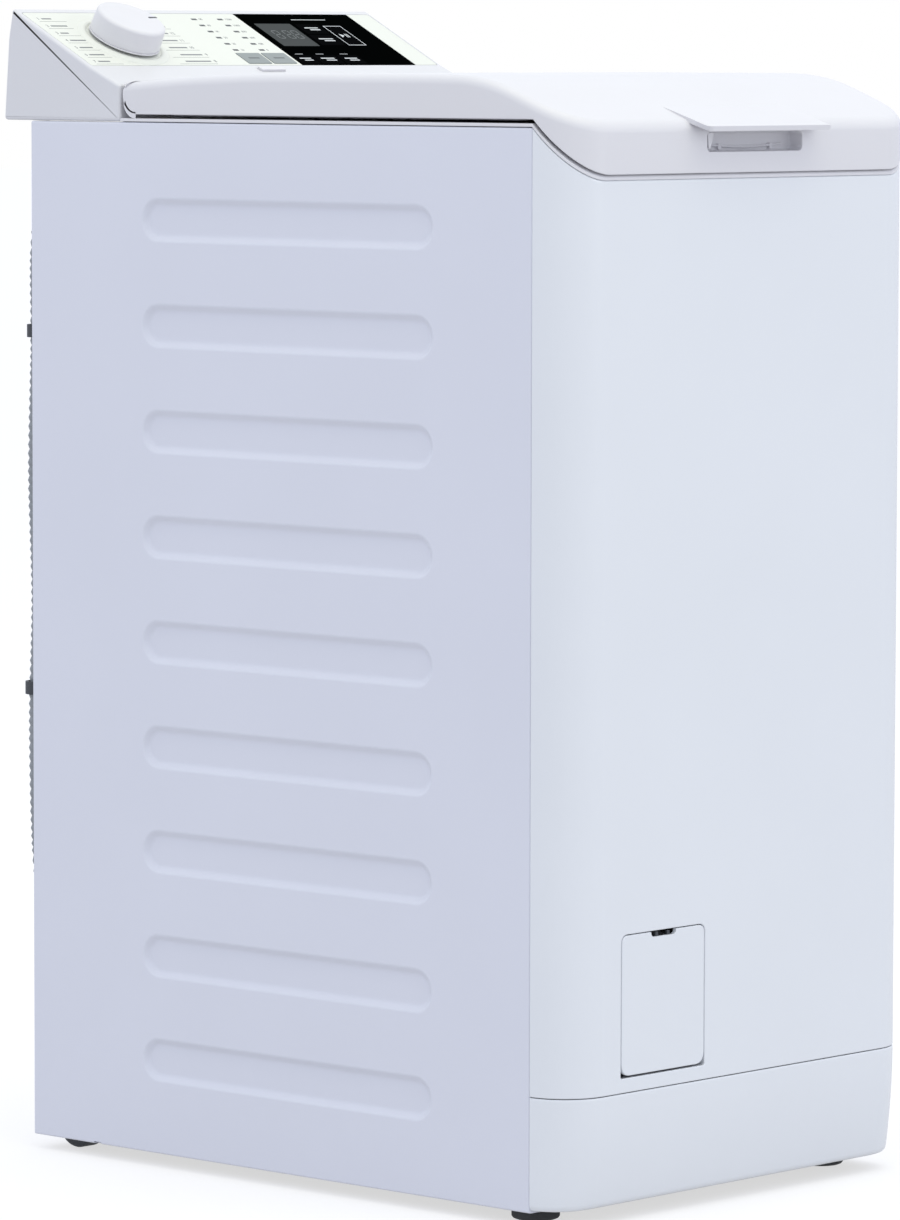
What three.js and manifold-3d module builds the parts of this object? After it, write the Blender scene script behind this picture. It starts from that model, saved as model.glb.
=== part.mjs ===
// Slim top-loading washing machine: a folded sheet-steel cabinet with pressed side ribs, a sloped
// control console across the back, a hinged lid with a pull handle, and a drum on a horizontal
// axle inside a tub that hangs on springs.
// Millimetres. X runs across the width, the front faces -Y, Z is up. The origin is on the floor,
// under the middle of the machine.

import * as THREE from 'three';
import { mergeVertices } from 'three/addons/utils/BufferGeometryUtils.js';
import Module from 'manifold-3d';

const wasm = await Module();
wasm.setup();

// ---------------------------------------------------------------- driving dimensions

const WIDTH = 400;
const HALF = WIDTH / 2;
const HEIGHT = 890;
const HALF_DEPTH = 306;            // console's rear edge and handle's lip, from the middle
const GAP = 0.4;                   // clearance between neighbouring pieces
const SHEET = 1.2;                 // cabinet steel

const FRONT_Y = -285;              // cabinet front face
const SEAM_Y = -247;               // where the front panel meets the side panels
const REAR_Y = 276;                // cabinet back face
const CORNER_R = SEAM_Y - FRONT_Y; // front vertical corners
const SIDE_BOTTOM = 10.4;
const SIDE_TOP = 804;
const PLINTH_TOP = 96.7;

const RIB_COUNT = 9;               // pressed recesses on each side panel
const RIB_LENGTH = 300;
const RIB_HEIGHT = 30;
const RIB_DEPTH = 3.5;
const RIB_FIRST_Z = 83.5;
const RIB_PITCH = 80.8;
const RIB_CENTRE_Y = 2.2;

const FRAME_TOP = 807;             // worktop surface under the lid
const FRAME_WALL = 2.4;
const CONSOLE_FRONT = 177.75;
const CONSOLE_BOTTOM = 804.5;
const NOSE_Z = 832;                // top of the console's upright front edge
const SLOPE_Z = 829.3;             // where the console's sloped face would meet that edge's plane
const SLOPE = THREE.MathUtils.degToRad(27.43);
const NOSE_LENGTH = 37;            // the flatter strip in front of the sloped face
const SLOPE_LENGTH = (HEIGHT - SLOPE_Z) / Math.sin(SLOPE);
const CONSOLE_WALL = 3.2;

const LID_PIVOT = { y: 161, z: 823 };
const LID_REAR_R = 13;
const LID_BOTTOM = 810;
const LID_TOP = 842;
const LID_FRONT = -287;
const LID_WALL = 2.6;

const DRUM = { x: -5, y: -4, z: 425, r: 228.2, half: 130 };
const TUB_R = 240;                 // tub's inner radius
const TUB_WALL = 4;
const TUB_HALF = 150;
const FLAP_HINGE = 110;            // flap hinge lines, from the drum's axle along Y
const FLAP_HALF = 104;             // half the flaps' width along X
const NECK = { half: 115, y: 165, top: 742 };
const SHAFT_R = 12;

const MOTOR = { y: 150, z: 125, r: 52 };
const PULLEY_R = 130;
const MOTOR_PULLEY_R = 11;
const PULLEY_X = 158;
const PULLEY_WIDTH = 16;

const FILTER = { x: -94.8, z: 160.6, halfX: 47.2, halfZ: 53.1 };

// ---------------------------------------------------------------- materials

const finish = (color, roughness, metalness = 0) => () =>
  new THREE.MeshStandardMaterial({ color, roughness, metalness });
const paint = {
  enamel: finish(0xdfe5ee, 0.35),
  white: finish(0xf4f6f2, 0.3),
  fascia: finish(0xeef1ec, 0.45),
  blueGrey: finish(0xccd2e0, 0.5),
  greyKey: finish(0xa5acac, 0.45),
  black: finish(0x060707, 0.15),
  blackKey: finish(0x0d0f0f, 0.25),
  darkPlastic: finish(0x2c2e31, 0.6),
  rubber: finish(0x3b3d40, 0.8),
  hose: finish(0x8f9396, 0.7),
  tub: finish(0xc4c9cc, 0.6),
  steel: finish(0xc8cacc, 0.3, 1),
  castMetal: finish(0x9a9da0, 0.5, 0.9),
  concrete: finish(0x8d8a84, 0.9),
  board: finish(0x2f6b45, 0.6),
  copper: finish(0x6f6a62, 0.5, 0.6),
};

// ---------------------------------------------------------------- solids

// A closed mesh as a solid. Triangles with no area, such as a lathe's at its pole, are left out.
function solid(geometry) {
  const plain = geometry.clone();
  plain.deleteAttribute('normal');
  plain.deleteAttribute('uv');
  const merged = mergeVertices(plain, 1e-4);
  const index = merged.index.array;
  const kept = [];
  for (let i = 0; i < index.length; i += 3) {
    const [a, b, c] = [index[i], index[i + 1], index[i + 2]];
    if (a !== b && b !== c && c !== a) kept.push(a, b, c);
  }
  return new wasm.Manifold(new wasm.Mesh({
    numProp: 3,
    vertProperties: new Float32Array(merged.attributes.position.array),
    triVerts: new Uint32Array(kept),
  }));
}

const join = (first, ...rest) => rest.reduce((a, b) => a.add(b), first);
const cut = (first, ...rest) => rest.reduce((a, b) => a.subtract(b), first);

function geometryOf(manifold) {
  const { vertProperties, triVerts } = manifold.getMesh();
  const geometry = new THREE.BufferGeometry();
  geometry.setAttribute('position', new THREE.BufferAttribute(vertProperties, 3));
  geometry.setIndex(new THREE.BufferAttribute(triVerts, 1));
  const flat = geometry.toNonIndexed();
  flat.computeVertexNormals();
  return flat;
}

const box = (x0, x1, y0, y1, z0, z1) => solid(
  new THREE.BoxGeometry(x1 - x0, y1 - y0, z1 - z0)
    .translate((x0 + x1) / 2, (y0 + y1) / 2, (z0 + z1) / 2));

function outline(points) {
  const shape = new THREE.Shape();
  points.forEach(([a, b], i) => (i ? shape.lineTo(a, b) : shape.moveTo(a, b)));
  shape.closePath();
  return shape;
}

const extrude = (shape, depth, options = {}) => new THREE.ExtrudeGeometry(
  shape instanceof THREE.Shape ? shape : outline(shape),
  { depth, bevelEnabled: false, curveSegments: 2, ...options });

// Prisms along each axis. Their outlines are in (x, y), in (y, z) and in (x, z).
const prismZ = (shape, z0, z1, options) => solid(
  extrude(shape, z1 - z0, options).translate(0, 0, z0));
const ALONG_X = new THREE.Matrix4().makeBasis(
  new THREE.Vector3(0, 1, 0), new THREE.Vector3(0, 0, 1), new THREE.Vector3(1, 0, 0));
const prismX = (shape, x0, x1, options) => solid(
  extrude(shape, x1 - x0, options).applyMatrix4(ALONG_X).translate(x0, 0, 0));
const ALONG_Y = new THREE.Matrix4().makeBasis(
  new THREE.Vector3(1, 0, 0), new THREE.Vector3(0, 0, 1), new THREE.Vector3(0, -1, 0));
const prismY = (shape, y0, y1, options) => solid(
  extrude(shape, y1 - y0, options).applyMatrix4(ALONG_Y).translate(0, y1, 0));

// A turned solid. The profile's points are [radius, place along the axle], anticlockwise.
function turned(profile, segments = 24) {
  const onAxle = profile[0][0] === 0;
  const points = profile.map(([r, h]) => new THREE.Vector2(r, h));
  if (!onAxle) points.push(points[0].clone());
  return new THREE.LatheGeometry(points, segments);
}
const turnedX = (profile, y, z, segments) => solid(
  turned(profile, segments).rotateZ(-Math.PI / 2).translate(0, y, z));
const turnedY = (profile, x, z, segments) => solid(
  turned(profile, segments).translate(x, 0, z));
const turnedZ = (profile, x, y, segments) => solid(
  turned(profile, segments).rotateX(Math.PI / 2).translate(x, y, 0));
const discProfile = (r, h0, h1) => [[0, h0], [r, h0], [r, h1], [0, h1]];
const ringProfile = (inner, outer, h0, h1) => [[inner, h0], [outer, h0], [outer, h1], [inner, h1]];

function roundedRectangle(x0, x1, y0, y1, r) {
  const shape = new THREE.Shape();
  shape.moveTo(x0 + r, y0);
  shape.lineTo(x1 - r, y0);
  shape.absarc(x1 - r, y0 + r, r, -Math.PI / 2, 0);
  shape.lineTo(x1, y1 - r);
  shape.absarc(x1 - r, y1 - r, r, 0, Math.PI / 2);
  shape.lineTo(x0 + r, y1);
  shape.absarc(x0 + r, y1 - r, r, Math.PI / 2, Math.PI);
  shape.lineTo(x0, y0 + r);
  shape.absarc(x0 + r, y0 + r, r, Math.PI, Math.PI * 1.5);
  return shape;
}

const arcPoints = (cx, cy, r, from, to, steps) => Array.from({ length: steps + 1 }, (_, i) => {
  const a = THREE.MathUtils.degToRad(from + (to - from) * i / steps);
  return [cx + r * Math.cos(a), cy + r * Math.sin(a)];
});

// The cabinet's plan outline, drawn in by some amount: square at the back, round at the front.
function plan(drawnIn, rear) {
  const r = CORNER_R - drawnIn;
  const corner = HALF - CORNER_R;
  return [
    [HALF - drawnIn, rear], [-HALF + drawnIn, rear],
    ...arcPoints(-corner, SEAM_Y, r, 180, 270, 6),
    ...arcPoints(corner, SEAM_Y, r, 270, 360, 6),
  ];
}

function mirrored(manifold) {
  const { vertProperties, triVerts } = manifold.getMesh();
  for (let i = 0; i < vertProperties.length; i += 3) vertProperties[i] *= -1;
  triVerts.reverse();
  return new wasm.Manifold(new wasm.Mesh({ numProp: 3, vertProperties, triVerts }));
}

const machine = new THREE.Group();

function piece(name, shape, material, parent = machine) {
  const geometry = shape instanceof THREE.BufferGeometry ? shape : geometryOf(shape);
  const mesh = new THREE.Mesh(geometry, material());
  mesh.name = name;
  parent.add(mesh);
  return mesh;
}

// ---------------------------------------------------------------- cabinet

// A long rounded recess with sloping walls, as a tool along X: its mouth is at x = 0 and its
// floor at x = depth.
function ribTool(z, depth) {
  const straight = RIB_LENGTH / 2 - RIB_HEIGHT / 2;
  const shape = new THREE.Shape();
  shape.absarc(RIB_CENTRE_Y + straight, z, RIB_HEIGHT / 2, -Math.PI / 2, Math.PI / 2);
  shape.absarc(RIB_CENTRE_Y - straight, z, RIB_HEIGHT / 2, Math.PI / 2, Math.PI * 1.5);
  return prismX(shape, -depth, 0, {
    curveSegments: 2, bevelEnabled: true, bevelThickness: depth, bevelSize: depth,
    bevelOffset: -depth, bevelSegments: 1,
  });
}

// The left panel: a steel sheet with its long edges folded in and nine recesses pressed in.
function sidePanel() {
  const front = SEAM_Y + GAP;
  const flange = 12;
  let sheet = join(
    box(-HALF, -HALF + SHEET, front, REAR_Y, SIDE_BOTTOM, SIDE_TOP),
    box(-HALF, -HALF + flange, REAR_Y - SHEET, REAR_Y, SIDE_BOTTOM, SIDE_TOP),
    box(-HALF, -HALF + flange, front, front + SHEET, SIDE_BOTTOM, SIDE_TOP));
  for (let i = 0; i < RIB_COUNT; i++) {
    const z = RIB_FIRST_Z + i * RIB_PITCH;
    const boss = ribTool(z, RIB_DEPTH).translate([-HALF + SHEET, 0, 0]);
    sheet = join(sheet, cut(boss, box(-HALF - 50, -HALF + SHEET / 2, -400, 400, 0, HEIGHT)));
    sheet = cut(sheet, ribTool(z, RIB_DEPTH).translate([-HALF, 0, 0]));
  }
  const snapNotch = box(-HALF - 1, -HALF + 5, 200.8, 208.8, SIDE_BOTTOM - 1, SIDE_BOTTOM + 1.5);
  return cut(sheet, snapNotch);
}
const leftSide = sidePanel();
piece('left_side_panel', leftSide, paint.enamel);
piece('right_side_panel', mirrored(leftSide), paint.enamel);

// A wall of some thickness that follows the cabinet's front and its two round corners.
const behindSeam = box(-HALF - 5, HALF + 5, SEAM_Y - GAP / 2, SEAM_Y + 20, 0, HEIGHT);
const frontWall = (thickness, z0, z1) => cut(
  prismZ(plan(0, SEAM_Y + 5), z0, z1),
  prismZ(plan(thickness, SEAM_Y + 10), z0 - 1, z1 + 1), behindSeam);

// Everything above a plane that rises at 45 degrees from the front face to the seam.
const aboveSlope = (zAtSeam) => prismX([
  [SEAM_Y, zAtSeam], [SEAM_Y, 900], [FRONT_Y - 30, 900], [FRONT_Y - 30, zAtSeam - CORNER_R - 30],
], -HALF - 5, HALF + 5);

function frontPanel() {
  const { x, z, halfX, halfZ } = FILTER;
  const wall = cut(frontWall(SHEET, PLINTH_TOP + GAP, SIDE_TOP - 1), aboveSlope(SIDE_TOP - 1));
  const opening = roundedRectangle(x - halfX, x + halfX, z - halfZ, z + halfZ, 7);
  const rim = roundedRectangle(x - halfX - 2, x + halfX + 2, z - halfZ - 2, z + halfZ + 2, 9);
  return cut(
    join(wall, prismY(rim, FRONT_Y + 0.5, FRONT_Y + 12)),
    prismY(opening, FRONT_Y - 5, FRONT_Y + 20));
}
piece('front_panel', frontPanel(), paint.enamel);

// The plinth leans inwards towards the floor.
function plinth() {
  const bottom = 12;
  const top = PLINTH_TOP - GAP;
  const shape = outline([
    ...plan(0, 0).slice(2),
    ...plan(2.5, 0).slice(2).reverse(),
  ]);
  const wall = extrude(shape, top - bottom, { steps: 4 }).translate(0, 0, bottom);
  const p = wall.attributes.position;
  for (let i = 0; i < p.count; i++) {
    const down = (top - p.getZ(i)) / (top - bottom);
    const ahead = (SEAM_Y - p.getY(i)) / CORNER_R;
    p.setY(i, p.getY(i) + 9 * down ** 2 * ahead);
  }
  return cut(solid(wall), behindSeam);
}
piece('plinth', plinth(), paint.enamel);

function rearPanel() {
  const wall = box(-185.5, 185.5, REAR_Y - SHEET, REAR_Y, SIDE_BOTTOM + 2, 798);
  return cut(wall,
    prismY(roundedRectangle(20, 170, 262, 598, 12), REAR_Y - 5, REAR_Y + 5),
    turnedY(discProfile(11, REAR_Y - 5, REAR_Y + 5), 140, 730, 16),
    turnedY(discProfile(14, REAR_Y - 5, REAR_Y + 5), -141, 121, 16));
}
piece('rear_panel', rearPanel(), paint.enamel);

function rearAccessCover() {
  const y = REAR_Y + GAP;
  const raised = (inset) => solid(extrude(
    roundedRectangle(32 + inset, 158 - inset, 274 + inset, 586 - inset, 14), 0.01, {
      bevelEnabled: true, bevelThickness: 4, bevelSize: 5, bevelOffset: -5, bevelSegments: 1,
      curveSegments: 2,
    }).applyMatrix4(ALONG_Y).translate(0, y + SHEET, 0));
  const plate = prismY(roundedRectangle(10, 180, 252, 608, 12), y, y + SHEET);
  const hollow = raised(1.5).translate([0, -SHEET, 0]);
  return cut(join(plate, cut(raised(0), box(0, 200, 200, y, 200, 650))), hollow);
}
piece('rear_access_cover', rearAccessCover(), paint.enamel);

const FOOT = { x: 165, y: -222 };
const WHEEL = { x: 171, y: 250, r: 20, half: 9, axle: 4 };

function baseTray() {
  const rim = 50;
  let tray = cut(
    box(-HALF + 1.8, HALF - 1.8, SEAM_Y + 2.2, REAR_Y - 2, 13, rim),
    box(-HALF + 4.4, HALF - 4.4, SEAM_Y + 4.8, REAR_Y - 4.6, 16, rim + 1),
    prismZ(roundedRectangle(-90, 130, 60, 200, 20), 0, rim));
  for (const side of [-1, 1]) {
    const x = side * WHEEL.x;
    tray = cut(tray, box(x - 12, x + 12, WHEEL.y - 24, REAR_Y, 0, rim + 1));
    for (const cheek of [x - 13.5, x + 13.5]) {
      tray = join(tray, box(cheek - 1.5, cheek + 1.5, WHEEL.y - 24, REAR_Y - 2, 10, 42));
    }
    tray = cut(tray, turnedX(discProfile(WHEEL.axle + 0.3, x - 20, x + 20), WHEEL.y, WHEEL.r, 12));
    tray = join(tray, turnedZ(discProfile(13, 13, 30), side * FOOT.x, FOOT.y, 10));
    tray = cut(tray, turnedZ(discProfile(5.6, 0, 40), side * FOOT.x, FOOT.y, 8));
  }
  return tray;
}
piece('base_tray', baseTray(), paint.darkPlastic);

const footProfile = [
  [0, 0], [16, 0], [18, 2], [18, 7], [13, 10], [9, 10.5], [9, 12.4], [5.2, 12.4], [5.2, 45],
  [4.4, 46], [0, 46],
];
const wheelProfile = (x) => [
  [0, x - 14], [WHEEL.axle, x - 14], [WHEEL.axle, x - WHEEL.half], [17, x - WHEEL.half],
  [WHEEL.r, x - WHEEL.half + 2], [WHEEL.r, x + WHEEL.half - 2], [17, x + WHEEL.half],
  [WHEEL.axle, x + WHEEL.half], [WHEEL.axle, x + 14], [0, x + 14],
];
for (const [word, side] of [['left', -1], ['right', 1]]) {
  piece(`front_${word}_foot`, turnedZ(footProfile, side * FOOT.x, FOOT.y, 12), paint.rubber);
  piece(`rear_${word}_wheel`, turnedX(wheelProfile(side * WHEEL.x), WHEEL.y, WHEEL.r, 16),
    paint.darkPlastic);
}

// ---------------------------------------------------------------- worktop frame

const THROAT = { x0: DRUM.x - 116, x1: DRUM.x + 116, y0: DRUM.y - NECK.y, y1: DRUM.y + NECK.y };
const throatShape = (grow) => roundedRectangle(
  THROAT.x0 - grow, THROAT.x1 + grow, THROAT.y0 - grow, THROAT.y1 + grow, 18 + grow);
const THROAT_BOTTOM = 762;
const LATCH = { x: 120, y: -215 };
const HINGE_EARS = [-150, 150];
const SPRINGS = [
  { name: 'left_suspension_spring', x: -178 },
  { name: 'right_suspension_spring', x: 168 },
];
const SPRING_R = 8;
const SPRING_BOTTOM = 603;
const SPRING_TOP = 779;

function topFrame() {
  const under = SIDE_TOP + 0.5;
  const rearEnd = CONSOLE_FRONT - 0.75;
  const skin = prismX([
    [rearEnd, under], [SEAM_Y + 0.7, under], [FRONT_Y, under - CORNER_R - 0.7],
    [FRONT_Y, FRAME_TOP - CORNER_R - 1], [SEAM_Y + 1, FRAME_TOP], [rearEnd, FRAME_TOP],
  ], -HALF, HALF);
  const skinInPlan = skin.intersect(prismZ(plan(0, 400), 700, 850));
  let frame = join(skinInPlan,
    box(-HALF + 2, HALF - 2, rearEnd - FRAME_WALL, rearEnd, 798.4, under + 1),
    box(-HALF + 2, HALF - 2, rearEnd - FRAME_WALL, REAR_Y - 2.5, 798.4, 800.8),
    prismZ(throatShape(FRAME_WALL), THROAT_BOTTOM, under + 1));
  for (const { x } of SPRINGS) {
    frame = join(frame, box(x - 9, x + 9, DRUM.y - 9, DRUM.y + 9, SPRING_TOP + 0.5, under + 1));
  }
  for (const x of HINGE_EARS) {
    frame = join(frame,
      box(x - 3, x + 3, LID_PIVOT.y - 6, LID_PIVOT.y + 6, under + 1, LID_PIVOT.z),
      turnedX(discProfile(6.5, x - 3, x + 3), LID_PIVOT.y, LID_PIVOT.z, 16));
  }
  return cut(frame,
    prismZ(throatShape(0), THROAT_BOTTOM - 1, FRAME_TOP + 1),
    box(LATCH.x - 8, LATCH.x + 8, LATCH.y - 9, LATCH.y + 9, under - 5, FRAME_TOP + 1),
    turnedX(discProfile(3.3, -HALF, HALF), LID_PIVOT.y, LID_PIVOT.z, 12));
}
piece('top_frame', topFrame(), paint.white);

piece('door_lock', cut(
  box(LATCH.x - 26, LATCH.x + 30, LATCH.y - 20, LATCH.y + 20, 772, SIDE_TOP),
  box(LATCH.x - 8, LATCH.x + 8, LATCH.y - 9, LATCH.y + 9, 786, SIDE_TOP + 1)), paint.darkPlastic);

// ---------------------------------------------------------------- console

// A point on the sloped face's side line in (y, z): some way up it, and drawn in by some amount.
const onSlope = (u, drawnIn) => [
  CONSOLE_FRONT + u * Math.cos(SLOPE) + drawnIn * Math.sin(SLOPE),
  SLOPE_Z + u * Math.sin(SLOPE) - drawnIn * Math.cos(SLOPE),
];

// The console's side outline in (y, z), drawn in by some amount.
function consoleOutline(drawnIn, bottom) {
  const rear = HALF_DEPTH - drawnIn;
  const top = HEIGHT - drawnIn;
  const crest = drawnIn > 0 ? [onSlope(SLOPE_LENGTH - 3, drawnIn)]
    : [[rear - 9.5, top - 1], [rear - 12, top], onSlope(SLOPE_LENGTH - 1, 0)];
  return [
    [CONSOLE_FRONT + drawnIn, bottom], [rear, bottom], [rear - 2, 830], [rear - 5, 870],
    [rear - 6.5, top - 6], ...crest, onSlope(NOSE_LENGTH, drawnIn),
    [CONSOLE_FRONT + drawnIn, NOSE_Z - drawnIn],
  ];
}

// The sloped face's own frame: x across, y up the slope from its foot, z out of the face.
const face = new THREE.Group();
face.position.set(0, CONSOLE_FRONT, SLOPE_Z);
face.rotation.x = SLOPE;
machine.add(face);
face.updateMatrixWorld(true);
const inWorld = (manifold) => solid(geometryOf(manifold).applyMatrix4(face.matrixWorld));

const INSET = { x: 196, u0: 38.5, u1: 126.5, depth: 2.4 };
const GLASS = { x0: 37.5, x1: 169.5, thickness: 1.2 };
const KNOB = { x: -129, u: 76.6, r: 29.5, height: 22, shaft: 3 };
const KEY_TRAVEL = 1;
const keys = [
  { name: 'temperature_button', x0: -20.5, x1: 5.5, u0: 41, u1: 58.5, look: paint.greyKey },
  { name: 'spin_button', x0: 8, x1: 34, u0: 41, u1: 58.5, look: paint.greyKey },
  { name: 'prewash_button', x0: 39.5, x1: 61, u0: 40.5, u1: 54.5, look: paint.blackKey },
  { name: 'rinse_plus_button', x0: 63, x1: 89, u0: 40.5, u1: 54.5, look: paint.blackKey },
  { name: 'softener_plus_button', x0: 91, x1: 115, u0: 40.5, u1: 54.5, look: paint.blackKey },
  { name: 'delay_start_button', x0: 91.5, x1: 118.5, u0: 72, u1: 90, look: paint.blackKey },
  { name: 'time_button', x0: 92.5, x1: 118.5, u0: 91.5, u1: 108.5, look: paint.blackKey },
  { name: 'start_pause_button', x0: 121, x1: 143.5, u0: 70.5, u1: 106, look: paint.blackKey },
  { name: 'power_button', x0: -20, x1: 7, u0: 26.5, u1: 32.5, look: paint.white },
];
const keyHoles = (z0, z1, list) => list.map(({ x0, x1, u0, u1 }) => prismZ(
  roundedRectangle(x0 - GAP, x1 + GAP, u0 - GAP, u1 + GAP, 1.2), z0, z1, { curveSegments: 1 }));

function consoleHousing() {
  const shell = cut(
    prismX(consoleOutline(0, CONSOLE_BOTTOM), -HALF, HALF),
    prismX(consoleOutline(CONSOLE_WALL, CONSOLE_BOTTOM - 5), -HALF + 2.5, HALF - 2.5));
  const seat = prismZ(roundedRectangle(-INSET.x - GAP, INSET.x + GAP,
    INSET.u0 - GAP, INSET.u1 + GAP, 3), -INSET.depth - GAP, 5);
  const window = prismZ(roundedRectangle(-188, 188, INSET.u0 + 1.2, 118, 4), -10, 5);
  return cut(shell, inWorld(seat), inWorld(window),
    ...keyHoles(-10, 5, keys.slice(-1)).map(inWorld));
}
piece('console_housing', consoleHousing(), paint.white);

function consoleFascia() {
  const panel = join(
    prismZ(roundedRectangle(-INSET.x, INSET.x, INSET.u0, INSET.u1, 2.6), -INSET.depth, 0),
    turnedZ([[0, -1], [38, -1], [38, 0], [34, 2], [0, 2]], KNOB.x, KNOB.u, 24));
  const glassSeat = box(GLASS.x0 - 0.3, GLASS.x1 + 0.3, 0, 200, -GLASS.thickness - 0.3, 5);
  return cut(panel, glassSeat, ...keyHoles(-10, 5, keys.slice(0, -1)),
    turnedZ(discProfile(8, -10, 5), KNOB.x, KNOB.u, 12));
}
piece('console_fascia', consoleFascia(), paint.fascia, face);

piece('display_panel', cut(
  prismZ([[GLASS.x0, INSET.u0], [GLASS.x1, INSET.u0], [GLASS.x1, INSET.u1], [GLASS.x0, INSET.u1]],
    -GLASS.thickness, 0),
  ...keyHoles(-10, 5, keys.slice(0, -1))), paint.black, face);

// Each key is a cap that stands a little proud, on a stem down to its switch on the board.
for (const { name, x0, x1, u0, u1, look } of keys) {
  const proud = name === 'power_button' ? 2.5 : 0.5;
  const [x, u] = [(x0 + x1) / 2, (u0 + u1) / 2];
  piece(name, join(
    prismZ(roundedRectangle(x0, x1, u0, u1, 0.9), -4.5, proud, { curveSegments: 1 }),
    box(x - 2.5, x + 2.5, u - 2.5, u + 2.5, -8.5, -4)), look, face);
}

piece('program_knob', turnedZ([
  [0, 17], [KNOB.shaft + 0.3, 17], [KNOB.shaft + 0.3, 4], [KNOB.r + 0.5, 3],
  [KNOB.r, KNOB.height - 1.6], [KNOB.r - 1.6, KNOB.height], [0, KNOB.height],
], KNOB.x, KNOB.u, 28), paint.white, face);

piece('program_selector', join(
  box(KNOB.x - 13, KNOB.x + 13, KNOB.u - 13, KNOB.u + 13, -13.5, -5),
  turnedZ(discProfile(KNOB.shaft, -6, 16), KNOB.x, KNOB.u, 14)), paint.darkPlastic, face);

function controlBoard() {
  const top = -14;
  const relays = [[-60, 60], [-60, 92], [-20, 88], [60, 88], [140, 60]];
  return join(box(-165, 160, 20, 116, top - 1.6, top),
    ...relays.map(([x, u]) => box(x - 10, x + 10, u - 8, u + 8, top - 15, top - 1)),
    box(-40, 155, 22, 112, top - 0.5, top + 4.9).subtract(
      box(-50, 160, 24, 110, top - 2, top + 6)));
}
piece('control_board', controlBoard(), paint.board, face);

// The console's bottom plate, its light tray behind the cabinet and the two gussets under it.
function consoleBase() {
  const top = CONSOLE_BOTTOM - 0.3;
  const tray = prismZ(roundedRectangle(-HALF + 1, HALF - 1, REAR_Y + 0.6, 301, 8), 799.6, top);
  const gusset = (x0) => prismX([
    [REAR_Y + 0.6, 784], [REAR_Y + 0.6, 800], ...arcPoints(REAR_Y + 9, 784, 8.4, 90, 180, 5)
      .slice(0, -1).map(([y, z]) => [y, z + 8]),
  ], x0, x0 + 12);
  return cut(join(
    box(-HALF + 3, HALF - 3, CONSOLE_FRONT + 3, REAR_Y - 2, 801.4, top),
    box(-185, 185, REAR_Y - 3, REAR_Y + 4, 801.4, top), tray,
    gusset(-HALF + 1.5), gusset(HALF - 13.5)),
  turnedZ(discProfile(6, 780, 820), 150, 289, 14));
}
piece('console_base', consoleBase(), paint.blueGrey);

// ---------------------------------------------------------------- lid

// The lid's side outline in (y, z), drawn in by some amount. A round end behind the pivot, a
// long flat top, a sloped front facet and an upright front face.
function lidOutline() {
  const { y, z } = LID_PIVOT;
  return [
    ...arcPoints(y, z, LID_REAR_R, 270, 360, 6),
    ...arcPoints(y + LID_REAR_R - 8, 827, 8, 0, 90, 3),
    [100, 839.5], [20, LID_TOP], [-164, LID_TOP], [-190, 840], [-214, 835.2], [-250, 821.5],
    [-279, 810.3], ...arcPoints(LID_FRONT + 5, 803.5, 5, 110, 180, 3),
    [LID_FRONT, 773.5], [LID_FRONT + 1.5, 771.7],
    [SEAM_Y - 0.2, LID_BOTTOM],
  ];
}
const LID_GRIP = { x0: -52, x1: 57, z0: 785.5, z1: 800, depth: 13 };

function lidCover() {
  const lidPlan = (drawnIn) => {
    const r = 40 - drawnIn;
    return [
      [HALF - drawnIn, 300], [-HALF + drawnIn, 300],
      ...arcPoints(-HALF + 40, LID_FRONT + 40, r, 180, 270, 6),
      ...arcPoints(HALF - 40, LID_FRONT + 40, r, 270, 360, 6),
    ];
  };
  const outer = prismX(lidOutline(), -HALF, HALF).intersect(prismZ(lidPlan(0), 700, 900));
  const hollow = prismX([
    [LID_PIVOT.y + 9.5, 700], [LID_PIVOT.y + 9.5, 828], [LID_PIVOT.y + 5, 832.2], [100, 836.9],
    [20, 839.4], [-163, 839.4], [-189, 837.4], [-213, 832.5], [-249, 818.8], [-277, 808],
    [LID_FRONT + 2.6, 802], [LID_FRONT + 2.6, 700],
  ], -HALF + LID_WALL, HALF - LID_WALL).intersect(prismZ(lidPlan(LID_WALL), 600, 900));
  const { x0, x1, z0, z1, depth } = LID_GRIP;
  const pocket = box(x0 - 2, x1 + 2, LID_FRONT + 0.5, LID_FRONT + depth + 2, z0 - 2, z1 + 2);
  const grip = box(x0, x1, LID_FRONT - 5, LID_FRONT + depth, z0, z1);
  const earSlots = HINGE_EARS.map((x) => box(x - 4.5, x + 4.5, 153, 180, 800, LID_PIVOT.z + 7.5));
  return cut(join(cut(outer, hollow), pocket), grip, ...earSlots);
}
const lid = new THREE.Group();
machine.add(lid);
piece('lid_cover', lidCover(), paint.white, lid);

const DISPENSER = { x: 104, y0: -50, y1: 95, z0: 752, z1: 811 };
function lidLiner() {
  const { x, y0, y1, z0, z1 } = DISPENSER;
  const plate = box(-HALF + 3.2, HALF - 3.2, -244, 152, 811, 813);
  const housing = cut(box(-x, x, y0, y1, z0, z1 + 1), box(-x + 2, x - 2, y0 - 1, y1 - 2, z0 + 2, z1));
  const lugs = [-130, 130].map((lugX) => join(
    box(lugX - 4, lugX + 4, 146, LID_PIVOT.y, 811, LID_PIVOT.z + 7),
    turnedX(discProfile(7, lugX - 4, lugX + 4), LID_PIVOT.y, LID_PIVOT.z, 16)));
  const hook = join(
    box(LATCH.x - 4, LATCH.x + 4, LATCH.y - 3, LATCH.y + 3, 793, 812),
    box(LATCH.x - 4, LATCH.x + 4, LATCH.y - 3, LATCH.y + 6, 793, 797));
  return cut(join(plate, housing, ...lugs, hook),
    turnedX(discProfile(3.3, -HALF, HALF), LID_PIVOT.y, LID_PIVOT.z, 12));
}
piece('lid_liner', lidLiner(), paint.white, lid);

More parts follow.
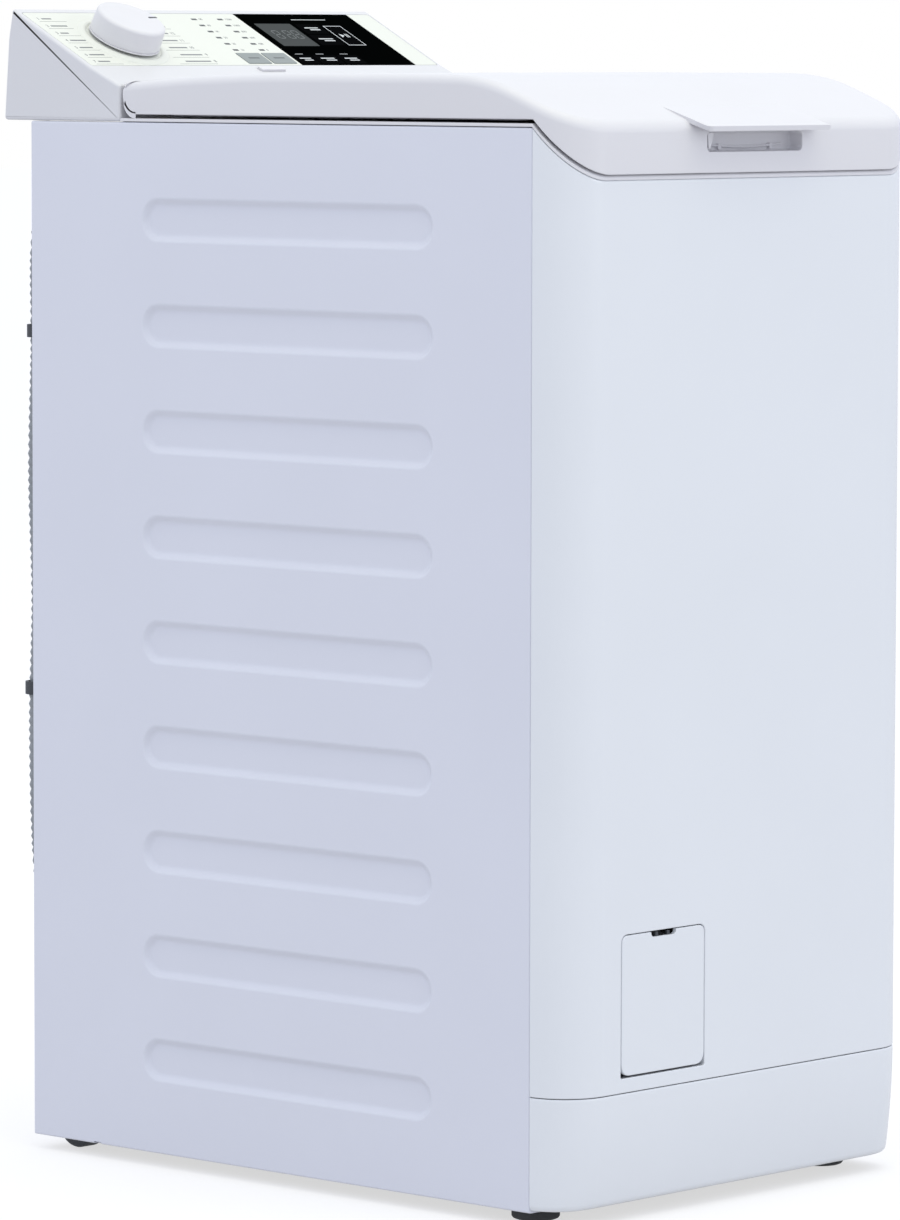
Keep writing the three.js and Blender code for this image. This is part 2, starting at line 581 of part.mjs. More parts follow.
piece('lid_hinge_rod', turnedX(discProfile(3, -190, 190), LID_PIVOT.y, LID_PIVOT.z, 14),
  paint.steel, lid);

function lidHandle() {
  const side = [
    [-262, 817.4], [-279, 811.5], [-287.6, 806.6], [-287.6, 802.5], [-296, 801.2], [-302, 799.8],
    [-305, 799.8], [-HALF_DEPTH, 801], [-HALF_DEPTH, 803.8], [-304.6, 805.3], [-296, 808.4],
    [-284, 813.6], [-270, 819.4],
  ];
  return prismX(side, -70, 71).intersect(
    prismZ(roundedRectangle(-70, 71, -HALF_DEPTH, -240, 6), 780, 830));
}
piece('lid_handle', lidHandle(), paint.white, lid);

function detergentDrawer() {
  const gap = 0.8;
  const { x, y0, y1, z0, z1 } = DISPENSER;
  const outer = [-x + 2 + gap, x - 2 - gap, y0 + 2, y1 - 2 - gap, z0 + 2 + gap, z1 - gap];
  const cells = [[-98.5, -34], [-31, 31], [34, 98.5]];
  return cut(box(...outer), ...cells.map(([c0, c1]) => box(
    c0, c1, outer[2] - 1, outer[3] - 2.5, outer[4] + 2, outer[5] - 2)));
}
piece('detergent_drawer', detergentDrawer(), paint.blueGrey, lid);

// ---------------------------------------------------------------- tub

const TUB_SPLIT = 0.2;             // half the slit between the tub's halves
const SUMP = { x0: DRUM.x - 115, x1: DRUM.x + 115, y0: DRUM.y - 60, y1: DRUM.y + 56, z: 158 };
const HUB_R = 22.3;
const DAMPERS = [
  { name: 'left_damper', x: -140 },
  { name: 'right_damper', x: 130 },
];
const DAMPER_Y = -100;
const DAMPER_TOP = 184;

// One half of the tub: side is -1 for the left half and 1 for the right one.
function tubHalf(side) {
  const place = (h) => DRUM.x + side * h;
  const turn = (profile) => turnedX(
    (side > 0 ? profile.map(([r, h]) => [r, place(h)])
      : profile.map(([r, h]) => [r, place(h)]).reverse()), DRUM.y, DRUM.z, 26);
  const outer = turn([
    [HUB_R, TUB_SPLIT], [252, TUB_SPLIT], [252, 7], [TUB_R + TUB_WALL, 7],
    [TUB_R + TUB_WALL, TUB_HALF - 10], [TUB_R - 6, TUB_HALF], [50, TUB_HALF],
    [36, TUB_HALF + 9], [HUB_R, TUB_HALF + 9],
  ]);
  const bore = turn([
    [0, TUB_SPLIT - 5], [TUB_R, TUB_SPLIT - 5], [TUB_R, TUB_HALF - 10], [TUB_R - 6, TUB_HALF - 4],
    [0, TUB_HALF - 4],
  ]);
  const half = (x0, x1, y0, y1, z0, z1) => {
    const [a, b] = side > 0 ? [DRUM.x + TUB_SPLIT, x1] : [x0, DRUM.x - TUB_SPLIT];
    return box(a, b, y0, y1, z0, z1);
  };
  const neck = [DRUM.x - NECK.half - TUB_WALL, DRUM.x + NECK.half + TUB_WALL,
    DRUM.y - NECK.y - TUB_WALL, DRUM.y + NECK.y + TUB_WALL];
  const spring = SPRINGS[side > 0 ? 1 : 0];
  const lugEnds = [spring.x - side * -9, DRUM.x + side * (TUB_HALF - 12)].sort((a, b) => a - b);
  const damper = DAMPERS[side > 0 ? 1 : 0];
  const shell = cut(
    join(outer, half(...neck, 560, NECK.top),
      half(SUMP.x0, SUMP.x1, SUMP.y0, SUMP.y1, SUMP.z, 240),
      box(...lugEnds, DRUM.y - 9, DRUM.y + 9, 596, SPRING_BOTTOM - 0.4),
      box(damper.x - 10, damper.x + 10, DAMPER_Y - 10, DAMPER_Y + 10, DAMPER_TOP + 0.4, 215)),
    bore,
    box(neck[0] + TUB_WALL, neck[1] - TUB_WALL, neck[2] + TUB_WALL, neck[3] - TUB_WALL,
      500, NECK.top + 1),
    box(SUMP.x0 + TUB_WALL, SUMP.x1 - TUB_WALL, SUMP.y0 + TUB_WALL, SUMP.y1 - TUB_WALL,
      SUMP.z + TUB_WALL, 245));
  if (side > 0) return shell;
  return cut(shell,
    box(SUMP.x0 - 5, SUMP.x0 + 10, DRUM.y - 38, DRUM.y + 34, 164.5, 177.5),
    turnedZ(discProfile(12, SUMP.z - 5, SUMP.z + 8), -70, DRUM.y - 30, 16));
}
piece('tub_left_half', tubHalf(-1), paint.tub);
piece('tub_right_half', tubHalf(1), paint.tub);

for (const [name, side] of [['drum_bearing_left', -1], ['drum_bearing_right', 1]]) {
  const ends = [DRUM.x + side * (TUB_HALF - 3), DRUM.x + side * (TUB_HALF + 9)].sort((a, b) => a - b);
  piece(name, turnedX(ringProfile(SHAFT_R + 0.3, HUB_R - 0.3, ...ends), DRUM.y, DRUM.z, 24),
    paint.steel);
}

// A tube along a curve, with a section of some sides.
function tube(points, r, sides, steps) {
  const vectors = points.map((p) => new THREE.Vector3(...p));
  const path = new THREE.CatmullRomCurve3(vectors, false, 'centripetal');
  const section = new THREE.Shape();
  section.absarc(0, 0, r, 0, Math.PI * 2);
  return solid(new THREE.ExtrudeGeometry(section, {
    steps, curveSegments: sides / 2, bevelEnabled: false, extrudePath: path,
  }));
}

// Water heater: a hairpin rod in the sump and its flange outside the tub's left wall.
const heaterLoop = [
  [-134, -34, 171], [-60, -34, 171], [40, -34, 171], [68, -31, 171], [80, -20, 171],
  [84, -4, 171], [80, 12, 171], [68, 23, 171], [40, 26, 171], [-60, 26, 171], [-134, 26, 171],
];
piece('heater', join(
  tube(heaterLoop, 4, 6, 26),
  box(SUMP.x0 - 6, SUMP.x0 - 0.4, DRUM.y - 42, DRUM.y + 38, 161, 179)), paint.copper);

// The counterweight block follows the tub's round wall, low on its back.
piece('counterweight', prismX([
  ...arcPoints(DRUM.y, DRUM.z, 279, 10, 42, 8), ...arcPoints(DRUM.y, DRUM.z, 253, 42, 10, 8),
], DRUM.x - 110, DRUM.x + 110), paint.concrete);

function motor() {
  const { y, z, r } = MOTOR;
  const bodyProfile = [
    [0, -50], [30, -50], [r - 8, -44], [r, -36], [r, 84], [r - 8, 92], [22, 96], [14, 100],
    [6.8, 100], [6.8, PULLEY_X + PULLEY_WIDTH + 4], [0, PULLEY_X + PULLEY_WIDTH + 4],
  ];
  const arms = [-30, 78].map((x) => box(x - 5, x + 5, y - 60, y + 30, z, z + 110));
  const drumSide = turnedX(discProfile(252.6, -200, 200), DRUM.y, DRUM.z, 32);
  return join(turnedX(bodyProfile, y, z, 20), ...arms.map((arm) => cut(arm, drumSide)));
}
piece('motor', motor(), paint.castMetal);

piece('motor_pulley', turnedX([
  [7.1, PULLEY_X], [MOTOR_PULLEY_R + 3, PULLEY_X], [MOTOR_PULLEY_R + 3, PULLEY_X + 1.5],
  [MOTOR_PULLEY_R, PULLEY_X + 2], [MOTOR_PULLEY_R, PULLEY_X + 14],
  [MOTOR_PULLEY_R + 3, PULLEY_X + 14.5], [MOTOR_PULLEY_R + 3, PULLEY_X + 16],
  [7.1, PULLEY_X + 16],
], MOTOR.y, MOTOR.z, 16), paint.castMetal);

// The belt's outline round both pulleys, grown by some amount.
function beltOutline(grow) {
  const [dy, dz] = [MOTOR.y - DRUM.y, MOTOR.z - DRUM.z];
  const apart = Math.hypot(dy, dz);
  const heading = THREE.MathUtils.radToDeg(Math.atan2(dz, dy));
  const open = THREE.MathUtils.radToDeg(Math.acos((PULLEY_R - MOTOR_PULLEY_R) / apart));
  return [
    ...arcPoints(DRUM.y, DRUM.z, PULLEY_R + grow, heading + open, heading + 360 - open, 30),
    ...arcPoints(MOTOR.y, MOTOR.z, MOTOR_PULLEY_R + grow, heading - open, heading + open, 8),
  ];
}
piece('drive_belt', cut(
  prismX(beltOutline(3.4), PULLEY_X + 3, PULLEY_X + 13),
  prismX(beltOutline(0.6), PULLEY_X, PULLEY_X + 20)), paint.rubber);

// ---------------------------------------------------------------- drum

const INNER_R = DRUM.r - 1.2;
const DRUM_SIDES = 32;

// The part of a ring round the axle between two angles from the top, positive towards the back.
function arcWall(r0, r1, from, to, x0, x1, steps) {
  return prismX([
    ...arcPoints(DRUM.y, DRUM.z, r1, 90 - from, 90 - to, steps),
    ...arcPoints(DRUM.y, DRUM.z, r0, 90 - to, 90 - from, steps),
  ].reverse(), x0, x1);
}
const HINGE_ANGLE = THREE.MathUtils.radToDeg(Math.asin(FLAP_HINGE / DRUM.r));

function drumShell() {
  const { x, y, z, r, half } = DRUM;
  const wall = turnedX(ringProfile(INNER_R, r, x - half, x + half), y, z, DRUM_SIDES);
  const mouth = box(x - FLAP_HALF - 1, x + FLAP_HALF + 1,
    y - FLAP_HINGE - 0.5, y + FLAP_HINGE + 0.5, z + 100, z + 300);
  return cut(wall, mouth);
}
piece('drum_shell', drumShell(), paint.steel);

function drumEnd(side) {
  const inner = INNER_R - 0.4;
  const reach = side > 0 ? PULLEY_X + PULLEY_WIDTH + 2 - DRUM.x : DRUM.half + 31;
  const profile = [
    [0, DRUM.half - 2], [44, DRUM.half - 2], [inner - 2, DRUM.half - 7],
    [inner - 2, DRUM.half - 14], [inner, DRUM.half - 14], [inner, DRUM.half - 1],
    [46, DRUM.half + 6], [38, DRUM.half + 14], [SHAFT_R, DRUM.half + 14],
    [SHAFT_R, reach], [0, reach],
  ].map(([r, h]) => [r, DRUM.x + side * h]);
  return turnedX(side > 0 ? profile : profile.reverse(), DRUM.y, DRUM.z, DRUM_SIDES);
}
piece('drum_left_end', drumEnd(-1), paint.steel);
piece('drum_right_end', drumEnd(1), paint.steel);

function drumPulley() {
  const [x0, x1] = [PULLEY_X, PULLEY_X + PULLEY_WIDTH];
  const wheel = turnedX([
    [SHAFT_R + 0.3, x0], [24, x0], [24, x0 + 6], [112, x0 + 6], [112, x0], [PULLEY_R, x0],
    [PULLEY_R, x1], [112, x1], [112, x1 - 6], [24, x1 - 6], [24, x1], [SHAFT_R + 0.3, x1],
  ], DRUM.y, DRUM.z, 24);
  const windows = Array.from({ length: 6 }, (_, i) => {
    const middle = 30 + i * 60;
    return prismX([
      ...arcPoints(DRUM.y, DRUM.z, 104, middle - 24, middle + 24, 3),
      ...arcPoints(DRUM.y, DRUM.z, 36, middle + 12, middle - 12, 1),
    ], x0 - 1, x1 + 1);
  });
  return cut(wheel, ...windows);
}
piece('drum_pulley', drumPulley(), paint.castMetal);

// The two flaps meet over the middle of the drum's mouth.
const flap = (from, to) => arcWall(
  INNER_R, DRUM.r, from, to, DRUM.x - FLAP_HALF, DRUM.x + FLAP_HALF, 7);
piece('front_drum_flap', flap(-HINGE_ANGLE + 0.15, -0.2), paint.steel);
piece('rear_drum_flap', flap(0.2, HINGE_ANGLE - 0.15), paint.steel);
piece('flap_latch', prismZ(roundedRectangle(DRUM.x - 30, DRUM.x + 30, DRUM.y - 26, DRUM.y - 3, 4),
  DRUM.z + DRUM.r + 0.4, DRUM.z + DRUM.r + 3.4), paint.darkPlastic);

// ---------------------------------------------------------------- suspension and seal

// A coil spring with straight ends, standing on z = bottom.
function coilSpring(x, y, bottom, top) {
  const turns = 7;
  const perTurn = 7;
  const wire = 1.7;
  const count = turns * perTurn;
  const points = Array.from({ length: count + 1 }, (_, i) => {
    const a = i / perTurn * Math.PI * 2;
    const z = bottom + wire + (top - bottom - 2 * wire) * i / count;
    return [x + (SPRING_R - wire) * Math.cos(a), y + (SPRING_R - wire) * Math.sin(a), z];
  });
  return tube(points, wire, 4, count);
}
for (const { name, x } of SPRINGS) {
  piece(name, coilSpring(x, DRUM.y, SPRING_BOTTOM, SPRING_TOP), paint.steel);
}

for (const { name, x } of DAMPERS) {
  piece(name, turnedZ([
    [0, 17], [8, 17], [8, 26], [14, 28], [14, 112], [6, 114], [6, 172], [10, 174],
    [10, DAMPER_TOP - 2], [8, DAMPER_TOP], [0, DAMPER_TOP],
  ], x, DAMPER_Y, 10), paint.darkPlastic);
}

// The rubber bellows between the tub's neck and the worktop frame's throat.
function tubGasket() {
  const bottom = NECK.top + 0.4;
  const top = THROAT_BOTTOM - 0.4;
  const middle = (bottom + top) / 2;
  const ring = (grow, z0, z1) => cut(
    prismZ(throatShape(grow + 3), z0, z1), prismZ(throatShape(grow), z0 - 1, z1 + 1));
  return join(ring(-0.5, bottom, middle + 1.5), ring(-0.5, middle - 1.5, top),
    ring(1, middle - 3, middle + 3));
}
piece('tub_gasket', tubGasket(), paint.rubber);

// ---------------------------------------------------------------- water in and water out

// The drain pump behind the filter door: a hollow filter housing, the pump and its small motor.
function drainPump() {
  const { x, z } = FILTER;
  return join(
    turnedY([
      [0, -205], [30, -205], [30, FRONT_Y + 15], [35, FRONT_Y + 15], [35, -200], [42, -198],
      [42, -168], [26, -164], [26, -128], [22, -124], [0, -124],
    ], x, z, 20),
    box(x - 25, x + 25, -195, -172, 16.6, z - 30));
}
piece('drain_pump', drainPump(), paint.darkPlastic);

piece('pump_filter', join(
  turnedY([
    [0, -270], [29.4, -270], [29.4, -260], [24, -258], [24, -212], [20, -209], [0, -209],
  ], FILTER.x, FILTER.z, 20),
  box(FILTER.x - 24, FILTER.x + 24, -276, -269, FILTER.z - 3.5, FILTER.z + 3.5)), paint.blueGrey);

const DOOR_PIVOT_Z = 110.6;
function filterDoor() {
  const { x, z, halfX, halfZ } = FILTER;
  const sides = [x - halfX + 0.7, x + halfX - 0.7, DOOR_PIVOT_Z - 1.6];
  const top = z + halfZ - 0.6;
  const leaf = prismY(roundedRectangle(...sides, top, 6.4), FRONT_Y, FRONT_Y + 3)
    .intersect(prismY(roundedRectangle(...sides, top + 20, 9.5), FRONT_Y - 1, FRONT_Y + 4));
  const notch = prismY(roundedRectangle(x - 14, x + 14, z + halfZ - 6, z + halfZ + 10, 4),
    FRONT_Y - 5, FRONT_Y + 10);
  return cut(leaf, notch);
}
piece('filter_door', filterDoor(), paint.enamel);

// The drain hose leaves low on the back, climbs to the top in clips and comes back down.
const hoseRoute = [
  [-140, 262, 120], [-140, 274, 120], [-142, 284, 124], [-150, 290, 140], [-163, 291, 175],
  [-172, 291, 230], [-175, 291, 330], [-172, 291, 430], [-175, 291, 530], [-172, 291, 630],
  [-172, 291, 700], [-164, 291, 744], [-142, 291, 768], [-112, 291, 772], [-84, 291, 756],
  [-70, 291, 720], [-66, 291, 640], [-66, 291, 480], [-66, 291, 320],
];
piece('drain_hose', tube(hoseRoute, 11, 6, 40), paint.hose);

piece('inlet_valve', join(
  box(118, 162, 215, 262, 700, 760),
  turnedY([[0, 250], [16, 250], [16, REAR_Y - 3], [10, REAR_Y - 3], [10, 297], [0, 297]], 140, 730,
    20),
  box(126, 154, 225, 255, 660, 702)), paint.white);

export default machine;
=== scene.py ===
"""Slim top-loading washing machine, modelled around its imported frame.

Lengths in this script are millimetres in the frame's own axes: X across, the front towards -Y,
Z up. They become metres where a mesh is made.
"""

import math
from contextlib import contextmanager

import bmesh
import bpy
from mathutils import Matrix, Vector


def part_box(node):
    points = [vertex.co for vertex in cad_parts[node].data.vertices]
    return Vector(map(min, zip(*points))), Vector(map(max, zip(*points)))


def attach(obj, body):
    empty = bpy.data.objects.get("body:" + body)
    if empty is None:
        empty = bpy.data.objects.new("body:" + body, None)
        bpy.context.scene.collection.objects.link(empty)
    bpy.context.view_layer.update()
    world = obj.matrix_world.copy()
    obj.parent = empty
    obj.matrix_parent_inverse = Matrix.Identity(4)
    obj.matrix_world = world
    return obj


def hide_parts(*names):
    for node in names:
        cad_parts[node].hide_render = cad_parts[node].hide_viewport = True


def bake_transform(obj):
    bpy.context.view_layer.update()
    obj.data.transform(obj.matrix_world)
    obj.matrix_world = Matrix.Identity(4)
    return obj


bl_info = {
    "name": "Slim washing machine",
    "version": (1, 0, 0),
    "blender": (4, 5, 0),
    "location": "View3D > Sidebar > Washing machine",
    "description": "Builds a slim top-loading washing machine piece by piece",
    "category": "Object",
}

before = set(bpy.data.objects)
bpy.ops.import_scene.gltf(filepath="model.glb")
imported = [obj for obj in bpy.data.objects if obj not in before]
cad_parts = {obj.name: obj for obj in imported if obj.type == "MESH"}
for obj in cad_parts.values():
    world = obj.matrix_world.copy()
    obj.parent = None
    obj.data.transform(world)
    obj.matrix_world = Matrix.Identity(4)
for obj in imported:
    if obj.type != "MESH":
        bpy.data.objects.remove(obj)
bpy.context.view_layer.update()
MM = 0.001


def span(node):
    """A frame node's lowest and highest corners, in millimetres."""
    low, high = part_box(node)
    return [round(c / MM, 2) for c in low], [round(c / MM, 2) for c in high]


def centre(node):
    low, high = span(node)
    return [(a + b) / 2 for a, b in zip(low, high)]


# ---------------------------------------------------------------- places taken from the frame

(SIDE_LEFT, SEAM, SIDE_BOTTOM), (_, REAR, SIDE_TOP) = span("left_side_panel")
HALF = -SIDE_LEFT
GAP = 0.4
SEAM -= GAP
FRONT = span("front_panel")[0][1]
CORNER = SEAM - FRONT
PLINTH_LOW, PLINTH_TOP = span("plinth")[0][2], span("plinth")[1][2]
FRAME_TOP = 807.0
LID_FRONT = span("lid_cover")[0][1]
PIVOT_Y, PIVOT_Z = centre("lid_hinge_rod")[1:]
(_, NOSE, CONSOLE_LOW), (_, CONSOLE_REAR, CONSOLE_TOP) = span("console_housing")
KNOB_X = centre("program_knob")[0]
DRUM_X, DRUM_Y, DRUM_Z = centre("drum_shell")
DRUM_R = (span("drum_shell")[1][1] - span("drum_shell")[0][1]) / 2
SLOPE = math.radians(27.43)
SLOPE_FOOT = 829.3

# ---------------------------------------------------------------- modelling helpers


def deselect():
    if bpy.context.mode != "OBJECT":
        bpy.ops.object.mode_set(mode="OBJECT")
    bpy.ops.object.select_all(action="DESELECT")


def focus(obj):
    deselect()
    obj.select_set(True)
    bpy.context.view_layer.objects.active = obj


@contextmanager
def editing(obj):
    """Edit mode on one mesh, with all of it selected."""
    focus(obj)
    bpy.ops.object.mode_set(mode="EDIT")
    bpy.ops.mesh.select_all(action="SELECT")
    yield
    bpy.ops.object.mode_set(mode="OBJECT")


def arc(a, b, r, start, end, steps=6):
    """Points on a round stretch about (a, b), between two angles in degrees."""
    turns = [math.radians(start + (end - start) * i / steps) for i in range(steps + 1)]
    return [(a + r * math.cos(t), b + r * math.sin(t)) for t in turns]


def rounded(a0, a1, b0, b1, r, steps=6):
    """A rectangle with round corners."""
    return [
        *arc(a1 - r, b0 + r, r, -90, 0, steps),
        *arc(a1 - r, b1 - r, r, 0, 90, steps),
        *arc(a0 + r, b1 - r, r, 90, 180, steps),
        *arc(a0 + r, b0 + r, r, 180, 270, steps),
    ]


def inset(outline, amount):
    """A closed outline drawn in by some amount, its corners mitred."""
    count = len(outline)
    area = sum(
        outline[i - 1][0] * outline[i][1] - outline[i][0] * outline[i - 1][1] for i in range(count)
    )
    side = 1 if area > 0 else -1
    drawn = []
    for i, (a, b) in enumerate(outline):
        before = Vector(outline[i]) - Vector(outline[i - 1])
        after = Vector(outline[(i + 1) % count]) - Vector(outline[i])
        n1 = Vector((-before.y, before.x)).normalized() * side
        n2 = Vector((-after.y, after.x)).normalized() * side
        step = (n1 + n2) / max(0.2, 1 + n1.dot(n2)) * amount
        drawn.append((a + step.x, b + step.y))
    return drawn


def along(axis, a, b, h):
    """The point that lies at (a, b) across an axis and at h along it."""
    return {"X": (h, a, b), "Y": (a, h, b), "Z": (a, b, h)}[axis]


def surface(name, rows, closed=False, capped=False):
    """A grid whose vertices lie along rows of points, closed round and at both ends if asked."""
    if closed:
        rows = [[*row, row[0]] for row in rows]
    deselect()
    bpy.ops.mesh.primitive_grid_add(
        x_subdivisions=len(rows[0]) - 1, y_subdivisions=len(rows) - 1, size=1
    )
    obj = bpy.context.object
    obj.name = name
    for vertex, point in zip(obj.data.vertices, (p for row in rows for p in row)):
        vertex.co = Vector(point) * MM
    bpy.ops.object.mode_set(mode="EDIT")
    bpy.ops.mesh.select_all(action="SELECT")
    bpy.ops.mesh.remove_doubles(threshold=2e-6)
    bpy.ops.mesh.dissolve_degenerate(threshold=1e-6)
    bpy.ops.mesh.delete_loose(use_verts=True, use_edges=True, use_faces=False)
    if capped:
        bpy.ops.mesh.select_all(action="SELECT")
        bpy.ops.mesh.fill_holes(sides=0)
    bpy.ops.mesh.select_all(action="SELECT")
    bpy.ops.mesh.normals_make_consistent(inside=False)
    bpy.ops.object.mode_set(mode="OBJECT")
    return obj


def slab(name, outline, axis, low, high, edge=(0, 0), steps=3):
    """An outline drawn out along an axis, with its two rims rounded by some radius."""
    rows = []
    if edge[0]:
        for i in range(steps):
            t = math.radians(90 * i / steps)
            rows.append((edge[0] * (1 - math.sin(t)), low + edge[0] * (1 - math.cos(t))))
    rows += [(0, low + edge[0]), (0, high - edge[1])]
    if edge[1]:
        for i in range(1, steps + 1):
            t = math.radians(90 * i / steps)
            rows.append((edge[1] * (1 - math.cos(t)), high - edge[1] * (1 - math.sin(t))))
    return surface(
        name,
        [[along(axis, a, b, h) for a, b in inset(outline, drawn)] for drawn, h in rows],
        closed=True,
        capped=True,
    )


def turned(name, profile, axis, middle, steps=48, start=0.0):
    """A profile of (radius, height) points turned about an axis through a point."""
    rows = []
    for r, h in profile:
        ring = []
        for i in range(steps):
            t = math.radians(start) + math.tau * i / steps
            a, b = r * math.cos(t), r * math.sin(t)
            p = along(axis, a, b, h)
            ring.append(tuple(c + m for c, m in zip(p, middle)))
        rows.append(ring)
    return surface(name, rows, closed=True)


def tube(name, path, radius, sides=12, capped=True):
    """A round tube along a path. The radius is a number or a function of the place, 0 to 1."""
    points = [Vector(p) for p in path]
    heading = (points[1] - points[0]).normalized()
    across = heading.orthogonal().normalized()
    rows = []
    for i, p in enumerate(points):
        ahead = points[min(i + 1, len(points) - 1)] - points[max(i - 1, 0)]
        ahead.normalize()
        across = (across - ahead * across.dot(ahead)).normalized()
        other = ahead.cross(across)
        r = radius(i / (len(points) - 1)) if callable(radius) else radius
        rows.append([
            p + (across * math.cos(math.tau * k / sides) + other * math.sin(math.tau * k / sides)) * r
            for k in range(sides)
        ])
    return surface(name, rows, closed=True, capped=capped)


def smooth_path(points, step):
    """A Catmull-Rom curve through some points, with a point about every so many millimetres."""
    vectors = [Vector(p) for p in points]
    vectors = [vectors[0] * 2 - vectors[1], *vectors, vectors[-1] * 2 - vectors[-2]]
    path = []
    for i in range(1, len(vectors) - 2):
        p0, p1, p2, p3 = vectors[i - 1:i + 3]
        count = max(1, round((p2 - p1).length / step))
        for k in range(count):
            t = k / count
            path.append(0.5 * (
                2 * p1 + (p2 - p0) * t + (2 * p0 - 5 * p1 + 4 * p2 - p3) * t * t
                + (3 * p1 - p0 - 3 * p2 + p3) * t ** 3
            ))
    return [*path, vectors[-2]]


def apply_modifier(obj, kind, **settings):
    focus(obj)
    modifier = obj.modifiers.new(kind.title().replace("Ior", "IOR"), kind)
    for key, value in settings.items():
        setattr(modifier, key, value)
    bpy.ops.object.modifier_apply(modifier=modifier.name)
    return obj


def cut(obj, *tools, operation="DIFFERENCE", crossed=False):
    """Takes the tools out of a piece, or joins them to it, and removes them."""
    for tool in tools:
        apply_modifier(
            obj, "BOOLEAN", object=tool, operation=operation, solver="EXACT", use_self=crossed
        )
        bpy.data.objects.remove(tool)
    return obj


def fuse(obj, *tools):
    return cut(obj, *tools, operation="UNION")


def box(name, x0, x1, y0, y1, z0, z1, edge=0.0, steps=2):
    outline = rounded(x0, x1, y0, y1, edge, 2) if edge else [(x0, y0), (x1, y0), (x1, y1), (x0, y1)]
    rim = (edge, edge) if edge else (0, 0)
    return slab(name, outline, "Z", z0, z1, rim, steps)


def bevel(obj, width, test, segments=3):
    """Rounds the edges whose middle point, in millimetres, passes a test."""
    focus(obj)
    bpy.ops.object.mode_set(mode="EDIT")
    bpy.ops.mesh.select_mode(type="EDGE")
    bpy.ops.mesh.select_all(action="DESELECT")
    mesh = bmesh.from_edit_mesh(obj.data)
    for e in mesh.edges:
        if e.is_manifold and e.calc_face_angle(0) > math.radians(25):
            middle = (e.verts[0].co + e.verts[1].co) / 2 / MM
            e.select_set(bool(test(middle)))
    bmesh.update_edit_mesh(obj.data)
    bpy.ops.mesh.bevel(offset=width * MM, segments=segments, affect="EDGES", clamp_overlap=True)
    bpy.ops.object.mode_set(mode="OBJECT")
    return obj


def joined(name, *objs):
    """Several meshes as one object, each still a closed body of its own."""
    deselect()
    for obj in objs:
        obj.select_set(True)
    bpy.context.view_layer.objects.active = objs[0]
    bpy.ops.object.join()
    objs[0].name = name
    return objs[0]


def copied(obj, name, move=(0, 0, 0), turn=None):
    """A copy with its own mesh, moved by some millimetres or changed by a matrix."""
    focus(obj)
    bpy.ops.object.duplicate()
    copy = bpy.context.object
    copy.name = name
    copy.data.transform(turn or Matrix.Translation(Vector(move) * MM))
    return copy


def mirrored(obj, name):
    """A copy on the other side of the machine's middle."""
    copy = copied(obj, name, turn=Matrix.Scale(-1, 4, (1, 0, 0)))
    with editing(copy):
        bpy.ops.mesh.flip_normals()
    return copy


def on_slope(obj):
    """Moves a piece from the sloped face's own plane, (x, up the slope, out of it), into place."""
    obj.location = Vector((0, NOSE, SLOPE_FOOT)) * MM
    obj.rotation_euler = (SLOPE, 0, 0)
    focus(obj)
    bpy.ops.object.transform_apply(location=True, rotation=True, scale=True)
    return obj


def complete(obj, body, finish, slot, *nodes, angle=32.0, weighted=True):
    """Shades a piece, gives it its finish, and makes it ride on a body of the frame."""
    focus(obj)
    bpy.ops.object.shade_smooth_by_angle(angle=math.radians(angle))
    if weighted:
        apply_modifier(obj, "WEIGHTED_NORMAL", keep_sharp=True, weight=50)
    obj.data.materials.clear()
    obj.data.materials.append(bpy.data.materials[finish])
    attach(obj, body)
    if nodes:
        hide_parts(*nodes)
    return obj


# ---------------------------------------------------------------- shader node groups


class Graph:
    """Short hand for adding and linking nodes in one tree."""

    def __init__(self, tree):
        self.tree = tree

    def add(self, kind, links=None, **settings):
        node = self.tree.nodes.new(kind)
        for key, value in settings.items():
            if key in node.inputs.keys():
                node.inputs[key].default_value = value
            else:
                setattr(node, key, value)
        for key, source in (links or {}).items():
            self.tree.links.new(source, node.inputs[key])
        return node


def effect(name, inputs, outputs, build):
    """A shader node group. Its inputs are (name, default) pairs and its outputs (name, kind)."""
    tree = bpy.data.node_groups.new(name, "ShaderNodeTree")
    for label, value in inputs:
        socket = tree.interface.new_socket(label, in_out="INPUT", socket_type="NodeSocketFloat")
        socket.default_value = value
    for label, kind in outputs:
        tree.interface.new_socket(label, in_out="OUTPUT", socket_type=kind)
    graph = Graph(tree)
    enter = graph.add("NodeGroupInput")
    leave = graph.add("NodeGroupOutput")
    for label, source in build(graph, enter.outputs).items():
        tree.links.new(source, leave.inputs[label])
    return tree


VALUE = "NodeSocketFloat"


def grain(graph, given):
    """Fine moulded or sprayed grain: a height for bump and a mask that varies the gloss."""
    place = graph.add("ShaderNodeTexCoord").outputs["Object"]
    fine = graph.add(
        "ShaderNodeTexNoise", {"Vector": place, "Scale": given["Scale"]}, Detail=3.0, Roughness=0.55
    )
    broad = graph.add("ShaderNodeTexNoise", {"Vector": place}, Scale=9.0, Detail=2.0)
    mask = graph.add(
        "ShaderNodeMapRange", {"Value": broad.outputs["Fac"]}, **{"From Min": 0.3, "From Max": 0.7}
    )
    return {"Height": fine.outputs["Fac"], "Mask": mask.outputs["Result"]}


def brushed(graph, given):
    """Long scratches along X, as on rolled or brushed steel."""
    place = graph.add("ShaderNodeTexCoord").outputs["Object"]
    stretch = graph.add("ShaderNodeMapping", {"Vector": place}, Scale=(0.04, 1.0, 1.0))
    lines = graph.add(
        "ShaderNodeTexNoise", {"Vector": stretch.outputs["Vector"], "Scale": given["Scale"]},
        Detail=4.0, Roughness=0.7,
    )
    return {"Height": lines.outputs["Fac"], "Mask": lines.outputs["Fac"]}


